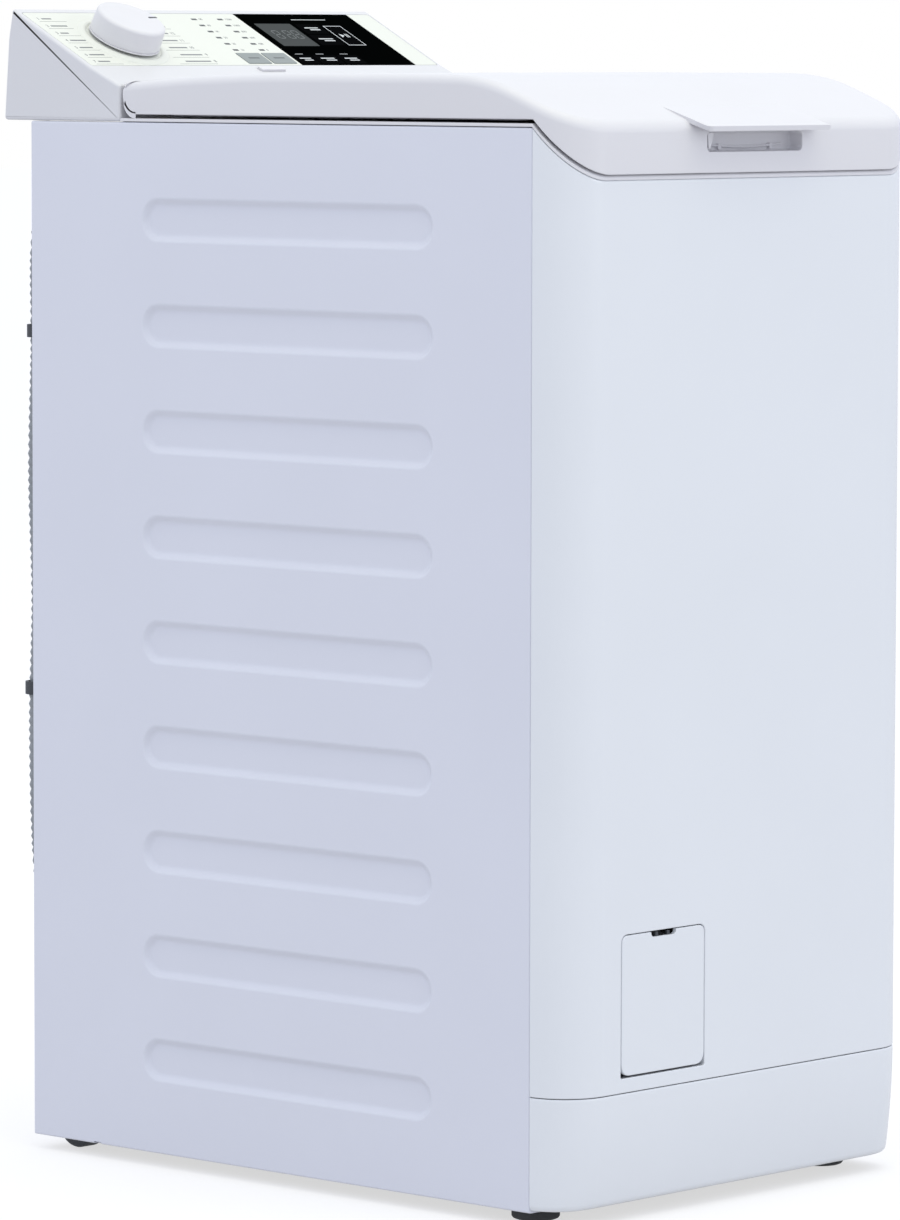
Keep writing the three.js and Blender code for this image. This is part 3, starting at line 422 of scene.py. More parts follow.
def settled_dust(graph, given):
    """Where dust settles: on what faces up, in soft uneven patches."""
    place = graph.add("ShaderNodeTexCoord").outputs["Object"]
    patches = graph.add("ShaderNodeTexNoise", {"Vector": place}, Scale=14.0, Detail=6.0)
    up = graph.add(
        "ShaderNodeSeparateXYZ", {"Vector": graph.add("ShaderNodeNewGeometry").outputs["Normal"]}
    )
    facing = graph.add(
        "ShaderNodeMapRange", {"Value": up.outputs["Z"]}, **{"From Min": 0.3, "From Max": 1.0}
    )
    both = graph.add(
        "ShaderNodeMath", {0: facing.outputs["Result"], 1: patches.outputs["Fac"]},
        operation="MULTIPLY",
    )
    scaled = graph.add(
        "ShaderNodeMath", {0: both.outputs["Value"], 1: given["Amount"]}, operation="MULTIPLY"
    )
    return {"Mask": scaled.outputs["Value"]}


def build_effects():
    effect("Grain", [("Scale", 300.0)], [("Height", VALUE), ("Mask", VALUE)], grain)
    effect("Brushed", [("Scale", 500.0)], [("Height", VALUE), ("Mask", VALUE)], brushed)
    effect("Dust", [("Amount", 0.3)], [("Mask", VALUE)], settled_dust)


# ---------------------------------------------------------------- finishes


def use(graph, name, **values):
    group = graph.add("ShaderNodeGroup", node_tree=bpy.data.node_groups[name])
    for key, value in values.items():
        group.inputs[key].default_value = value
    return group.outputs


def blended(graph, mask, low, high, share=1.0):
    """A colour between two, by a mask."""
    mix = graph.add("ShaderNodeMix", data_type="RGBA")
    scaled = graph.add("ShaderNodeMath", {0: mask}, operation="MULTIPLY")
    scaled.inputs[1].default_value = share
    graph.tree.links.new(scaled.outputs["Value"], mix.inputs["Factor"])
    for socket, value in ((mix.inputs[6], low), (mix.inputs[7], high)):
        if hasattr(value, "links"):
            graph.tree.links.new(value, socket)
        else:
            socket.default_value = (*value, 1.0)
    return mix.outputs[2]


def linear(colour):
    """A screen colour, 0 to 255 a channel, as a linear one."""
    return tuple(((c / 255 + 0.055) / 1.055) ** 2.4 if c > 10 else c / 255 / 12.92 for c in colour)


def material(
    name, colour, rough, metallic=0.0, pattern="Grain", scale=300.0, bump=0.05, depth=0.0001,
    vary=0.015, rough_vary=0.03, dust=0.0, coat=0.0, **sockets,
):
    """A finish with its own grain, slight unevenness of colour and gloss, and dust."""
    made = bpy.data.materials.new(name)
    made.use_nodes = True
    graph = Graph(made.node_tree)
    shader = made.node_tree.nodes["Principled BSDF"]
    texture = use(graph, pattern, Scale=scale)
    base = linear(colour)
    darker = tuple(c * (1 - vary) for c in base)
    tint = blended(graph, texture["Mask"], base, darker)
    if dust:
        tint = blended(
            graph, use(graph, "Dust", Amount=dust)["Mask"], tint, linear((176, 172, 165))
        )
    graph.tree.links.new(tint, shader.inputs["Base Color"])
    gloss = graph.add(
        "ShaderNodeMapRange", {"Value": texture["Mask"]},
        **{"To Min": rough - rough_vary / 2, "To Max": rough + rough_vary / 2},
    )
    graph.tree.links.new(gloss.outputs["Result"], shader.inputs["Roughness"])
    relief = graph.add("ShaderNodeBump", {"Height": texture["Height"]}, Strength=bump, Distance=depth)
    graph.tree.links.new(relief.outputs["Normal"], shader.inputs["Normal"])
    shader.inputs["Metallic"].default_value = metallic
    shader.inputs["Coat Weight"].default_value = coat
    shader.inputs["Coat Roughness"].default_value = 0.08
    for key, value in sockets.items():
        shader.inputs[key.replace("_", " ").title().replace("Ior", "IOR")].default_value = value
    return made


FINISHES = {
    # The two enamels below are one paint. The copy on the sides and back is darker and bluer, as painted
    # shade. The copy on the front, its door and the plinth is lighter, as painted light.
    "Enamel": dict(colour=(213, 215, 226), rough=0.33, scale=900, bump=0.05, coat=0.25),
    "Front Enamel": dict(colour=(222, 225, 230), rough=0.3, scale=900, bump=0.05, coat=0.3),
    "White Plastic": dict(colour=(216, 215, 219), rough=0.36, scale=1400, bump=0.06),
    "Fascia Plastic": dict(colour=(221, 223, 216), rough=0.5, scale=2400, bump=0.1),
    "Pale Plastic": dict(colour=(182, 188, 203), rough=0.45, scale=1400, bump=0.1, dust=0.1),
    "Console White": dict(colour=(213, 213, 217), rough=0.42, scale=1400, bump=0.08),
    "Display Mark": dict(colour=(66, 72, 66), rough=0.3, scale=2600, bump=0.03),
    "Grey Sign": dict(colour=(96, 101, 102), rough=0.5, scale=2600, bump=0.05),
    "Grey Key": dict(colour=(138, 145, 145), rough=0.5, scale=2600, bump=0.12),
    "Black Glass": dict(
        colour=(3, 4, 4), rough=0.12, scale=40, bump=0.01, rough_vary=0.02, specular_ior_level=0.0,
    ),
    "Black Key": dict(colour=(9, 10, 11), rough=0.25, scale=2200, bump=0.05, specular_ior_level=0.0),
    "Display": dict(colour=(40, 45, 41), rough=0.3, scale=2600, bump=0.03, specular_ior_level=0.05),
    "Grey Print": dict(colour=(120, 124, 126), rough=0.5, scale=3000, bump=0.05),
    "Dark Print": dict(colour=(62, 65, 68), rough=0.45, scale=3000, bump=0.05),
    "White Print": dict(colour=(206, 210, 212), rough=0.5, scale=3000, bump=0.05),
    "Dark Plastic": dict(colour=(58, 61, 66), rough=0.6, scale=1200, bump=0.25, dust=0.25),
    "Rubber": dict(colour=(60, 61, 63), rough=0.75, scale=900, bump=0.3, dust=0.2),
    "Seal Rubber": dict(colour=(120, 123, 126), rough=0.62, scale=900, bump=0.2),
    "Hose Rubber": dict(colour=(136, 140, 144), rough=0.6, scale=700, bump=0.2, dust=0.25),
    "Tub Plastic": dict(colour=(196, 200, 203), rough=0.55, scale=900, bump=0.3, dust=0.12),
    "Drum Steel": dict(
        colour=(205, 207, 209), rough=0.28, metallic=1.0, pattern="Brushed", scale=700, bump=0.12,
    ),
    "Zinc Steel": dict(
        colour=(190, 192, 190), rough=0.36, metallic=1.0, scale=220, bump=0.12, vary=0.12,
    ),
    "Cast Aluminium": dict(
        colour=(172, 174, 176), rough=0.5, metallic=0.9, scale=500, bump=0.5, depth=0.0003,
    ),
    "Motor Metal": dict(
        colour=(128, 131, 134), rough=0.5, metallic=0.7, scale=420, bump=0.4, dust=0.1,
    ),
    "Casting": dict(
        colour=(120, 119, 116), rough=0.85, scale=260, bump=0.9, depth=0.0008, vary=0.2,
    ),
    "Copper Brown": dict(colour=(120, 108, 96), rough=0.45, metallic=0.7, scale=500, bump=0.2),
    "Circuit Board": dict(colour=(38, 92, 58), rough=0.45, scale=500, bump=0.3, vary=0.3),
}


def build_finishes():
    build_effects()
    for name, values in FINISHES.items():
        material(name, **values)


# ---------------------------------------------------------------- cabinet


def obround(half_length, r, steps):
    """A long hole's outline about the origin, its round ends at the two ends."""
    return [*arc(half_length, 0, r, -90, 90, steps), *arc(-half_length, 0, r, 90, 270, steps)]


def to_rectangle(half_length, a0, a1, b, steps):
    """The points of a rectangle that match an obround's, for joining the two with faces."""
    side = steps // 4
    rows = []
    for end, start in ((a1, half_length), (a0, -half_length)):
        sign = 1 if end == a1 else -1
        corner = [(start + (end - start) * i / side, -b * sign) for i in range(side)]
        edge = [(end, -b * sign + 2 * b * sign * i / (steps - 2 * side)) for i in range(steps - 2 * side)]
        back = [(end + (start - end) * i / side, b * sign) for i in range(side + 1)]
        rows += [*corner, *edge, *back]
    return rows


def ribbed_sheet(cabinet):
    """The left side's outer skin: pressed obround recesses in a flat sheet with folded edges."""
    steps = 16
    bend = 1.6
    middle, z0 = 2.2, 83.5
    pitch, length, height = 80.8, 300.0, 30.0
    straight = length / 2 - height / 2
    depth = cabinet.rib_depth / MM
    rings = [(2.6, 0.0), (1.5, 0.12), (0.3, 0.7), (-1.7, 2.4), (-2.9, 3.2), (-4.2, 3.5), (-6.0, 3.5)]
    rows = [[
        (SIDE_LEFT, middle + a, z0 + b) for a, b in
        to_rectangle(straight, SEAM + GAP + bend - middle, REAR - bend - middle, pitch / 2, steps)
    ]]
    for grow, down in rings:
        rows.append([
            (SIDE_LEFT + down * depth / 3.5, middle + a, z0 + b)
            for a, b in obround(straight, height / 2 + grow, steps)
        ])
    cell = surface("rib_cell", rows, closed=True)
    focus(cell)
    bpy.ops.object.mode_set(mode="EDIT")
    bpy.ops.mesh.select_all(action="DESELECT")
    mesh = bmesh.from_edit_mesh(cell.data)
    floor_x = (SIDE_LEFT + depth) * MM
    for v in mesh.verts:
        if abs(v.co.x - floor_x) < 1e-6 and v.is_boundary:
            v.select_set(True)
    mesh.select_flush(True)
    bpy.ops.mesh.edge_face_add()
    bpy.ops.object.mode_set(mode="OBJECT")
    apply_modifier(
        cell, "ARRAY", count=cabinet.rib_count, use_relative_offset=False,
        use_constant_offset=True, constant_offset_displace=(0, 0, pitch * MM),
        use_merge_vertices=True, merge_threshold=1e-5,
    )
    low = z0 - pitch / 2
    high = low + pitch * cabinet.rib_count
    draw_out(cell, lambda p: p.z < low + 0.01, [(0, 0, SIDE_BOTTOM + bend - low)], fold(bend, "Z", -1))
    draw_out(cell, lambda p: p.z > high - 0.01, [(0, 0, SIDE_TOP - bend - high)], fold(bend, "Z", 1))
    draw_out(cell, lambda p: p.y < SEAM + GAP + bend + 0.01, [], fold(bend, "Y", -1))
    draw_out(cell, lambda p: p.y > REAR - bend - 0.01, [], fold(bend, "Y", 1))
    return cell


def fold(r, axis, sign, reach=9.0):
    """The moves that fold a sheet's edge inwards round a small radius, then along the flange."""
    moves = []
    for i in range(3):
        t0, t1 = math.radians(30 * i), math.radians(30 * (i + 1))
        out = r * (math.sin(t1) - math.sin(t0)) * sign
        across = r * (math.cos(t0) - math.cos(t1))
        moves.append((across, out, 0) if axis == "Y" else (across, 0, out))
    return [*moves, (reach, 0, 0)]


def draw_out(obj, test, *stretches):
    """Extrudes the open edges whose middle passes a test, by one move after another."""
    focus(obj)
    bpy.ops.object.mode_set(mode="EDIT")
    bpy.ops.mesh.select_mode(type="EDGE")
    bpy.ops.mesh.select_all(action="DESELECT")
    mesh = bmesh.from_edit_mesh(obj.data)
    for e in mesh.edges:
        if e.is_boundary and all(test(v.co / MM) for v in e.verts):
            e.select_set(True)
    bmesh.update_edit_mesh(obj.data)
    for move in (m for stretch in stretches for m in stretch):
        bpy.ops.mesh.extrude_edges_move(TRANSFORM_OT_translate={"value": Vector(move) * MM})
    bpy.ops.object.mode_set(mode="OBJECT")
    return obj


def face_outwards(obj, towards):
    """Makes a skin's faces agree, and turns them over if they face the wrong way on the whole."""
    mesh = bmesh.new()
    mesh.from_mesh(obj.data)
    bmesh.ops.recalc_face_normals(mesh, faces=mesh.faces)
    mesh.normal_update()
    facing = sum(f.normal.dot(Vector(towards)) * f.calc_area() for f in mesh.faces)
    if facing < 0:
        bmesh.ops.reverse_faces(mesh, faces=mesh.faces)
    mesh.to_mesh(obj.data)
    mesh.free()
    return obj


def wall(obj, thickness, towards):
    """Gives a skin that faces one way on the whole its wall, on its inner side."""
    face_outwards(obj, towards)
    return apply_modifier(obj, "SOLIDIFY", thickness=thickness * MM, offset=-1.0)


def build_side_panels(cabinet):
    left = wall(ribbed_sheet(cabinet), cabinet.sheet / MM, (-1, 0, 0))
    notch = box("notch", SIDE_LEFT - 2, SIDE_LEFT + 4, 200.8, 208.8, SIDE_BOTTOM - 2, SIDE_BOTTOM + 1.8)
    cut(left, notch, crossed=True)
    left.name = "left_side"
    right = mirrored(left, "right_side")
    for side, obj in (("left", left), ("right", right)):
        # The sides take the enamel copy that is painted darker and bluer: painted shade.
        complete(obj, "root", "Enamel", "enamel", f"{side}_side_panel", angle=40)


def front_plan(drawn_in=0.0, steps=12):
    """The cabinet's round-cornered front in plan, from the left seam to the right one."""
    middle = HALF - CORNER
    r = CORNER - drawn_in
    return [*arc(-middle, SEAM, r, 180, 270, steps), *arc(middle, SEAM, r, 270, 360, steps)]


def top_cut(y, z_at_seam):
    """Height of the front's sloping upper edge, which falls at 45 degrees towards the front."""
    return z_at_seam - (SEAM - y)


def build_front_panel():
    low, seam_top = PLINTH_TOP + GAP, SIDE_TOP - 1
    plan = front_plan()
    lip = front_plan(4.0)
    near = front_plan(0.5)
    rows = [
        [(a, b, low + 0.8) for a, b in lip],
        [(a, b, low) for a, b in front_plan(1.2)],
        [(a, b, low + 0.15) for a, b in near],
        [(a, b, low + 0.8) for a, b in plan],
        [(a, b, low + 1.6) for a, b in plan],
        [(a, b, top_cut(b, seam_top) - 1.6) for a, b in plan],
        [(a, b, top_cut(b, seam_top) - 0.5) for a, b in plan],
        [(a, b, top_cut(b, seam_top) - 0.1) for a, b in near],
        [(a, b, top_cut(b, seam_top)) for a, b in front_plan(1.2)],
        [(a, b, top_cut(b, seam_top) - 0.6) for a, b in lip],
    ]
    panel = surface("front_skin", rows)
    apply_modifier(face_outwards(panel, (0, -1, 0)), "SOLIDIFY", thickness=1.0 * MM, offset=-1.0)
    (x0, _, z0), (x1, _, z1) = span("filter_door")
    x0, x1, z0, z1 = x0 - 0.7, x1 + 0.7, z0 - 1.5, z1 + 0.6
    rim = slab(
        "rim", door_outline(x0 - 2, x1 + 2, z0 - 2, z1 + 2, 3.5, 9), "Y", FRONT + 0.6, FRONT + 12
    )
    fuse(panel, rim)
    mouth = slab("mouth", door_outline(x0, x1, z0, z1, 1.5, 7), "Y", FRONT - 5, FRONT + 20)
    cut(panel, mouth)
    bevel(panel, 0.9, lambda p: (
        abs(p.y - FRONT) < 0.05 and x0 - 0.2 < p.x < x1 + 0.2 and z0 - 0.2 < p.z < z1 + 0.2
    ))
    # The front takes the lighter copy of the enamel: painted light.
    complete(panel, "root", "Front Enamel", "enamel", "front_panel", angle=30)
    build_filter_door(x0, x1, z0, z1)


def door_outline(x0, x1, z0, z1, low_r, high_r):
    """The service door's shape: its two lower corners and two upper ones differ."""
    corners = [(x0, z0), (x1, z0), (x1, z1), (x0, z1)]
    return softened(corners, [low_r, low_r, high_r, high_r], 8)


def build_filter_door(x0, x1, z0, z1):
    middle = (x0 + x1) / 2
    outline = door_outline(x0 + 0.7, x1 - 0.7, z0 + 1.5, z1 - 0.6, 9.5, 6.4)
    leaf = slab("service_door", outline, "Y", FRONT, FRONT + 3, (0.9, 0.4))
    notch = slab(
        "notch", rounded(middle - 14, middle + 14, z1 - 4.4, z1 + 10, 3), "Y", FRONT - 5, FRONT + 8
    )
    cut(leaf, notch)
    bevel(leaf, 0.5, lambda p: abs(p.y - FRONT) < 0.05 and abs(p.x - middle) < 14.3 and p.z > z1 - 5)
    # The door takes the lighter copy of the enamel: painted light.
    complete(leaf, "service_door", "Front Enamel", "enamel", "filter_door")
    catch = joined("door_catch", *[
        box("catch", middle + a, middle + b, FRONT + 1.0, FRONT + 3.2, z1 - 5.6, z1 - 1.2, 0.5)
        for a, b in ((-8, -5), (5, 8))
    ])
    complete(catch, "service_door", "Dark Plastic", "dark_plastic")


def build_plinth():
    """The plinth leans in towards the floor and turns under along its lower edge."""
    low, high = PLINTH_LOW, PLINTH_TOP

    def level(z, drawn_in):
        down = (high - z) / (high - low)
        row = []
        for a, b in front_plan(drawn_in):
            ahead = (SEAM - b) / CORNER
            row.append((a, b + 9 * down ** 2 * ahead, z))
        return row

    rows = [
        level(low + 3, 9), level(low + 0.2, 7), level(low, 5), level(low + 0.8, 2), level(low + 2.6, 0.5),
        *[level(low + 5 + (high - low - 7) * i / 8, 0) for i in range(9)],
        level(high - 0.9, 0), level(high - 0.2, 0.4), level(high, 1.2), level(high - 0.6, 4),
    ]
    skin = surface("front_plinth", rows)
    wall(skin, 2.4, (0, -1, 0))
    # The plinth takes the lighter copy of the enamel: painted light.
    complete(skin, "root", "Front Enamel", "enamel", "plinth")


def build_base():
    """The base tray stays as the frame has it; feet and wheels get their finer shapes."""
    for side in ("left", "right"):
        x, y, _ = centre(f"front_{side}_foot")
        pad = turned(f"{side}_foot_pad", [
            (0, 0), (15, 0), (17, 0.8), (18, 2.2), (18, 6.2), (17.2, 7.4), (13.4, 9.6), (12.6, 10.2),
            (0, 10.2),
        ], "Z", (x, y, 0), 48)
        complete(pad, "root", "Rubber", "rubber", f"front_{side}_foot")
        nut = turned(f"{side}_foot_nut", [(0, 9.8), (8.4, 9.8), (9, 10.2), (9, 12.1), (8.4, 12.5),
                                         (0, 12.5)], "Z", (x, y, 0), 6)
        thread = [(0, 12)]
        for i in range(18):
            thread += [(4.5, 12.3 + i * 1.8), (5.2, 13.2 + i * 1.8)]
        stud = turned(f"{side}_foot_stud", [*thread, (0, 45)], "Z", (x, y, 0), 24)
        complete(joined(f"{side}_foot_screw", nut, stud), "root", "Zinc Steel", "steel")
        x, y, z = centre(f"rear_{side}_wheel")
        tyre = turned(f"{side}_wheel_tyre", [
            (0, -7.5), (5.5, -7.5), (6, -9), (15, -9), (17.4, -8.8), (19.4, -7.8), (20, -6.4),
            (20, 6.4), (19.4, 7.8), (17.4, 8.8), (15, 9), (6, 9), (5.5, 7.5), (0, 7.5),
        ], "X", (x, y, z), 48)
        pin = turned("pin", [(0, -14), (3.6, -14), (4, -13.6), (4, 13.6), (3.6, 14), (0, 14)],
                     "X", (x, y, z), 24)
        wheel = joined(f"{side}_wheel", tyre, pin)
        complete(wheel, f"{side}_wheel", "Dark Plastic", "dark_plastic", f"rear_{side}_wheel")


# ---------------------------------------------------------------- worktop frame


def between(knots, a):
    """The height of a line through (place, height) knots, in falling order of place."""
    for (a0, h0), (a1, h1) in zip(knots, knots[1:]):
        if a >= a1:
            return h0 + (h1 - h0) * (a0 - a) / (a0 - a1)
    (a0, h0), (a1, h1) = knots[-2:]
    return h1 + (h1 - h0) * (a1 - a) / (a0 - a1)


def softened(points, radii, steps=4):
    """A polygon with its corners rounded. Each corner has its own radius."""
    soft = []
    count = len(points)
    for i, p in enumerate(points):
        p = Vector(p)
        r = radii[i] if isinstance(radii, (list, tuple)) else radii
        before = (Vector(points[i - 1]) - p)
        after = (Vector(points[(i + 1) % count]) - p)
        bend = before.angle(after)
        reach = min(r / math.tan(bend / 2), before.length * 0.49, after.length * 0.49)
        if r <= 0 or bend > math.radians(176):
            soft.append(tuple(p))
            continue
        start, end = p + before.normalized() * reach, p + after.normalized() * reach
        for k in range(steps + 1):
            t = k / steps
            soft.append(tuple(start * (1 - t) ** 2 + p * 2 * t * (1 - t) + end * t * t))
    return soft


def bisect(obj, point, normal):
    """Adds a line of edges where a plane passes through a piece."""
    with editing(obj):
        bpy.ops.mesh.bisect(plane_co=Vector(point) * MM, plane_no=normal)
    return obj


THROAT = (DRUM_X - 116, DRUM_X + 116, DRUM_Y - 165, DRUM_Y + 165)
HINGE_EARS = (-150, 150)


def build_worktop():
    """The white frame round the loading throat. Its front bends down to follow the cabinet."""
    rear_end = NOSE - 0.75
    under, top = SIDE_TOP + 0.5, FRAME_TOP
    outline = [(HALF - 0.05, rear_end), (-HALF + 0.05, rear_end), *front_plan(0.05, 14)]
    plate = slab("worktop", outline, "Z", under, top, (0.2, 0.9), 3)
    for y in (SEAM + 1.0, SEAM + 0.4):
        bisect(plate, (0, y, 0), (0, 1, 0))
    for v in plate.data.vertices:
        ahead = SEAM + 0.7 - v.co.y / MM
        if ahead > 0:
            v.co.z -= ahead * MM
    throat_low = span("tub_gasket")[1][2] + 0.4
    wall_outer = slab("throat", rounded(*grown(THROAT, 2.4), 20.4, 8), "Z", throat_low, under + 0.5)
    fuse(plate, wall_outer)
    for x in HINGE_EARS:
        ear = slab("ear", [
            (PIVOT_Y - 6.5, under + 1), (PIVOT_Y + 6.5, under + 1),
            *arc(PIVOT_Y, PIVOT_Z, 6.5, 0, 180, 10),
        ], "X", x - 3, x + 3, (0.5, 0.5), 2)
        fuse(plate, ear)
        cut(plate, turned("bore", disc(3.3, -HALF, HALF), "X", (0, PIVOT_Y, PIVOT_Z), 20))
    for spring in ("left", "right"):
        x, y, _ = centre(f"{spring}_suspension_spring")
        fuse(plate, box("pad", x - 9, x + 9, y - 9, y + 9, span(f"{spring}_suspension_spring")[1][2]
                        + 0.5, under + 0.6))
    cut(plate, slab("throat_hole", rounded(*THROAT, 18, 8), "Z", throat_low - 5, top + 5))
    latch_x, latch_y, _ = centre("door_lock")
    latch_x -= 2
    cut(plate, box("slot", latch_x - 8, latch_x + 8, latch_y - 9, latch_y + 9, under - 5, top + 2))
    x0, x1, y0, y1 = THROAT
    bevel(plate, 2.0, lambda p: (
        abs(p.z - top) < 0.05 and x0 - 0.5 < p.x < x1 + 0.5 and y0 - 0.5 < p.y < y1 + 0.5), 4)
    shelf = box("shelf", -HALF + 2.5, HALF - 2.5, rear_end - 2.4, REAR - 2.5, 798.4, 800.8, 0.6)
    step = box("step", -HALF + 2.5, HALF - 2.5, rear_end - 2.4, rear_end, 799, under + 0.6)
    fuse(plate, fuse(shelf, step))
    complete(plate, "root", "White Plastic", "white_plastic", "top_frame", angle=35)


def disc(r, low, high):
    return [(0, low), (r, low), (r, high), (0, high)]


def grown(rectangle, amount):
    x0, x1, y0, y1 = rectangle
    return x0 - amount, x1 + amount, y0 - amount, y1 + amount


# ---------------------------------------------------------------- lid

LID_CORNER = 40.0
LID_CREST = [(p.y, p.z) for p in smooth_path([
    (0, 174, 834.4), (0, 100, 839.2), (0, 20, 841.8), (0, -80, 842), (0, -160, 842),
    (0, -188, 840.4), (0, -214, 834.8), (0, -250, 821.4), (0, -279, 810.3), (0, -287, 807.2),
], 5)]


def lid_ring(drawn_in, steps=16):
    """One side's plan outline of the lid, from its back corner to the middle of its front."""
    rear_ys = [PIVOT_Y + 13 * math.cos(math.radians(15 * i)) for i in range(7)]
    ys = [*rear_ys, *range(145, -150, -25), *[-155 - 7 * i for i in range(14)]]
    corner = -HALF + LID_CORNER
    side = [(-HALF, y) for y in ys if y > SEAM + 1]
    side += arc(corner, LID_FRONT + LID_CORNER, LID_CORNER, 180, 270, steps)
    side += [(-75, LID_FRONT), (-30, LID_FRONT)]
    whole = [*side, *[(-a, b) for a, b in reversed(side)]]
    return inset(whole, drawn_in)


def lid_bottom(y):
    if y > PIVOT_Y:
        return PIVOT_Z - math.sqrt(max(0.0, 169 - (y - PIVOT_Y) ** 2))
    return 810.0 - max(0.0, SEAM - y)


def build_lid(lid):
    edge = lid.edge_radius / MM
    rim = lid_ring(0)
    rows = [
        [(a, b, lid_bottom(w)) for (a, b), (_, w) in zip(lid_ring(0.5), rim)],
        [(a, b, lid_bottom(w) + 0.6) for (a, b), (_, w) in zip(rim, rim)],
    ]
    steps = 6
    for i in range(steps + 1):
        t = math.radians(90 * i / steps)
        ring = lid_ring(edge * (1 - math.cos(t)))
        rows.append([(a, b, between(LID_CREST, b) - edge * (1 - math.sin(t))) for a, b in ring])
    cover = surface("lid_shell", rows, closed=True)
    inner = rows[-1]
    focus(cover)
    bpy.ops.object.mode_set(mode="EDIT")
    mesh = bmesh.from_edit_mesh(cover.data)
    chain = [min(mesh.verts, key=lambda v: (v.co - Vector(p) * MM).length) for p in inner]
    last, half = len(chain) - 1, len(chain) // 2
    mesh.faces.new(chain[half - 4:half + 4])
    for i in range(half - 4):
        mesh.faces.new((chain[i], chain[i + 1], chain[last - i - 1], chain[last - i]))
    bmesh.update_edit_mesh(cover.data)
    bpy.ops.object.mode_set(mode="OBJECT")
    curl = [(0, PIVOT_Y + 13 * math.cos(math.radians(15 * i)),
             PIVOT_Z - 13 * math.sin(math.radians(15 * i))) for i in range(7)]
    moves = [[b - a for a, b in zip(p, q)] for p, q in zip(curl, curl[1:])]
    draw_out(cover, lambda p: p.y > PIVOT_Y + 11.5 and p.z < PIVOT_Z + 1.5, moves)
    with editing(cover):
        bpy.ops.mesh.remove_doubles(threshold=0.00003)
        bpy.ops.mesh.normals_make_consistent(inside=False)
    wall(cover, 2.4, (0, 0, 1))
    for v in cover.data.vertices:
        v.co.x = max(-HALF * MM, min(HALF * MM, v.co.x))
    x0, x1, z0, z1, depth = -52, 57, 785.5, 800, 13
    face = LID_FRONT
    fuse(cover, box("pocket", x0 - 2, x1 + 2, face + 0.6, face + depth + 2, z0 - 2, z1 + 2))
    grip = slab("grip", rounded(x0, x1, z0, z1, 3.5, 4), "Y", face - 5, face + depth, (0, 2.5))
    cut(cover, grip)
    bevel(cover, 0.8, lambda p: (
        abs(p.y - face) < 0.05 and x0 - 0.3 < p.x < x1 + 0.3 and z0 - 0.3 < p.z < z1 + 0.3))
    for x in HINGE_EARS:
        cut(cover, box("slot", x - 4.5, x + 4.5, 153, 180, 800, PIVOT_Z + 7.5))
    complete(cover, "lid", "White Plastic", "white_plastic", "lid_cover", angle=40)
    build_handle()
    build_grip_details(x0, x1, z0, z1, face, depth)


def build_handle():
    """A thin plate that leaves the lid's front facet and curls level at its lip."""
    (x0, lip, _), (x1, _, _) = span("lid_handle")
    line = [p[1:] for p in smooth_path([
        (0, -256, 819.0), (0, -268, 815.6), (0, -280, 811.8), (0, -292, 808.2), (0, -300, 805.9),
        (0, lip + 0.2, 804.6),
    ], 3)]
    round_r = 5.0
    columns = [x0 + 0.4, x0 + 1, x0 + 2.2, x0 + 3.6, x0 + round_r]
    columns = [*columns, -40, 0.5, 41, *[x0 + x1 - x for x in reversed(columns)]]
    rows = []
    for y, z in line:
        row = []
        for x in columns:
            beside = max(0.0, x0 + round_r - x, x - x1 + round_r)
            back = round_r - math.sqrt(round_r ** 2 - beside ** 2)
            share = max(0.0, (y - -285.0) / (lip + 285.0))
            row.append((x, y + back * share, z))
        rows.append(row)
    plate = face_outwards(surface("handle", rows), (0, 0, 1))
    apply_modifier(plate, "SOLIDIFY", thickness=3.8 * MM, offset=-1.0)
    bevel(plate, 1.2, lambda p: True, 3)
    complete(plate, "lid", "White Plastic", "white_plastic", "lid_handle", angle=40)


def build_grip_details(x0, x1, z0, z1, face, depth):
    """A tapered rib at the pocket's left, a thin curved bar across it, and two small clips."""
    rib = slab("rib", [(x0 + 2, z1 - 0.6), (x0 + 9, z1 - 0.6), (x0 + 5, z0 + 2.5), (x0 + 3, z0 + 2.5)],
               "Y", face + 1.5, face + depth - 0.2)
    bar = [(x0 + 11 + i * 8.6, face + depth - 1.6, z0 + 5.2 - 2.2 * math.sin(math.pi * i / 10))
           for i in range(11)]
    rod = tube("bar", bar, 0.8, 8)
    clips = [box("clip", x - 1.6, x + 1.6, face + depth - 2.6, face + depth + 0.5, z0 + 1.4, z0 + 5.6,
                 0.5) for x in (x0 + 26, x1 - 24)]
    complete(joined("grip_fittings", rib, rod, *clips), "lid", "White Plastic", "white_plastic")


# ---------------------------------------------------------------- console

SLOPE_LENGTH = (CONSOLE_TOP - SLOPE_FOOT) / math.sin(SLOPE)
STRIP = 37.0


def on_face(u, drawn_in=0.0):
    """A point (y, z) on the sloped face's side line, some way up it."""
    return (
        NOSE + u * math.cos(SLOPE) + drawn_in * math.sin(SLOPE),
        SLOPE_FOOT + u * math.sin(SLOPE) - drawn_in * math.cos(SLOPE),
    )


def console_outline():
    corners = [
        (NOSE, CONSOLE_LOW), (CONSOLE_REAR, CONSOLE_LOW), (CONSOLE_REAR - 2, 830),
        (CONSOLE_REAR - 5, 868), (CONSOLE_REAR - 9.5, CONSOLE_TOP), on_face(SLOPE_LENGTH),
        on_face(STRIP), (NOSE, 832),
    ]
    return softened(corners, [2.8, 3.0, 30, 30, 5, 5, 60, 3.2], 5)


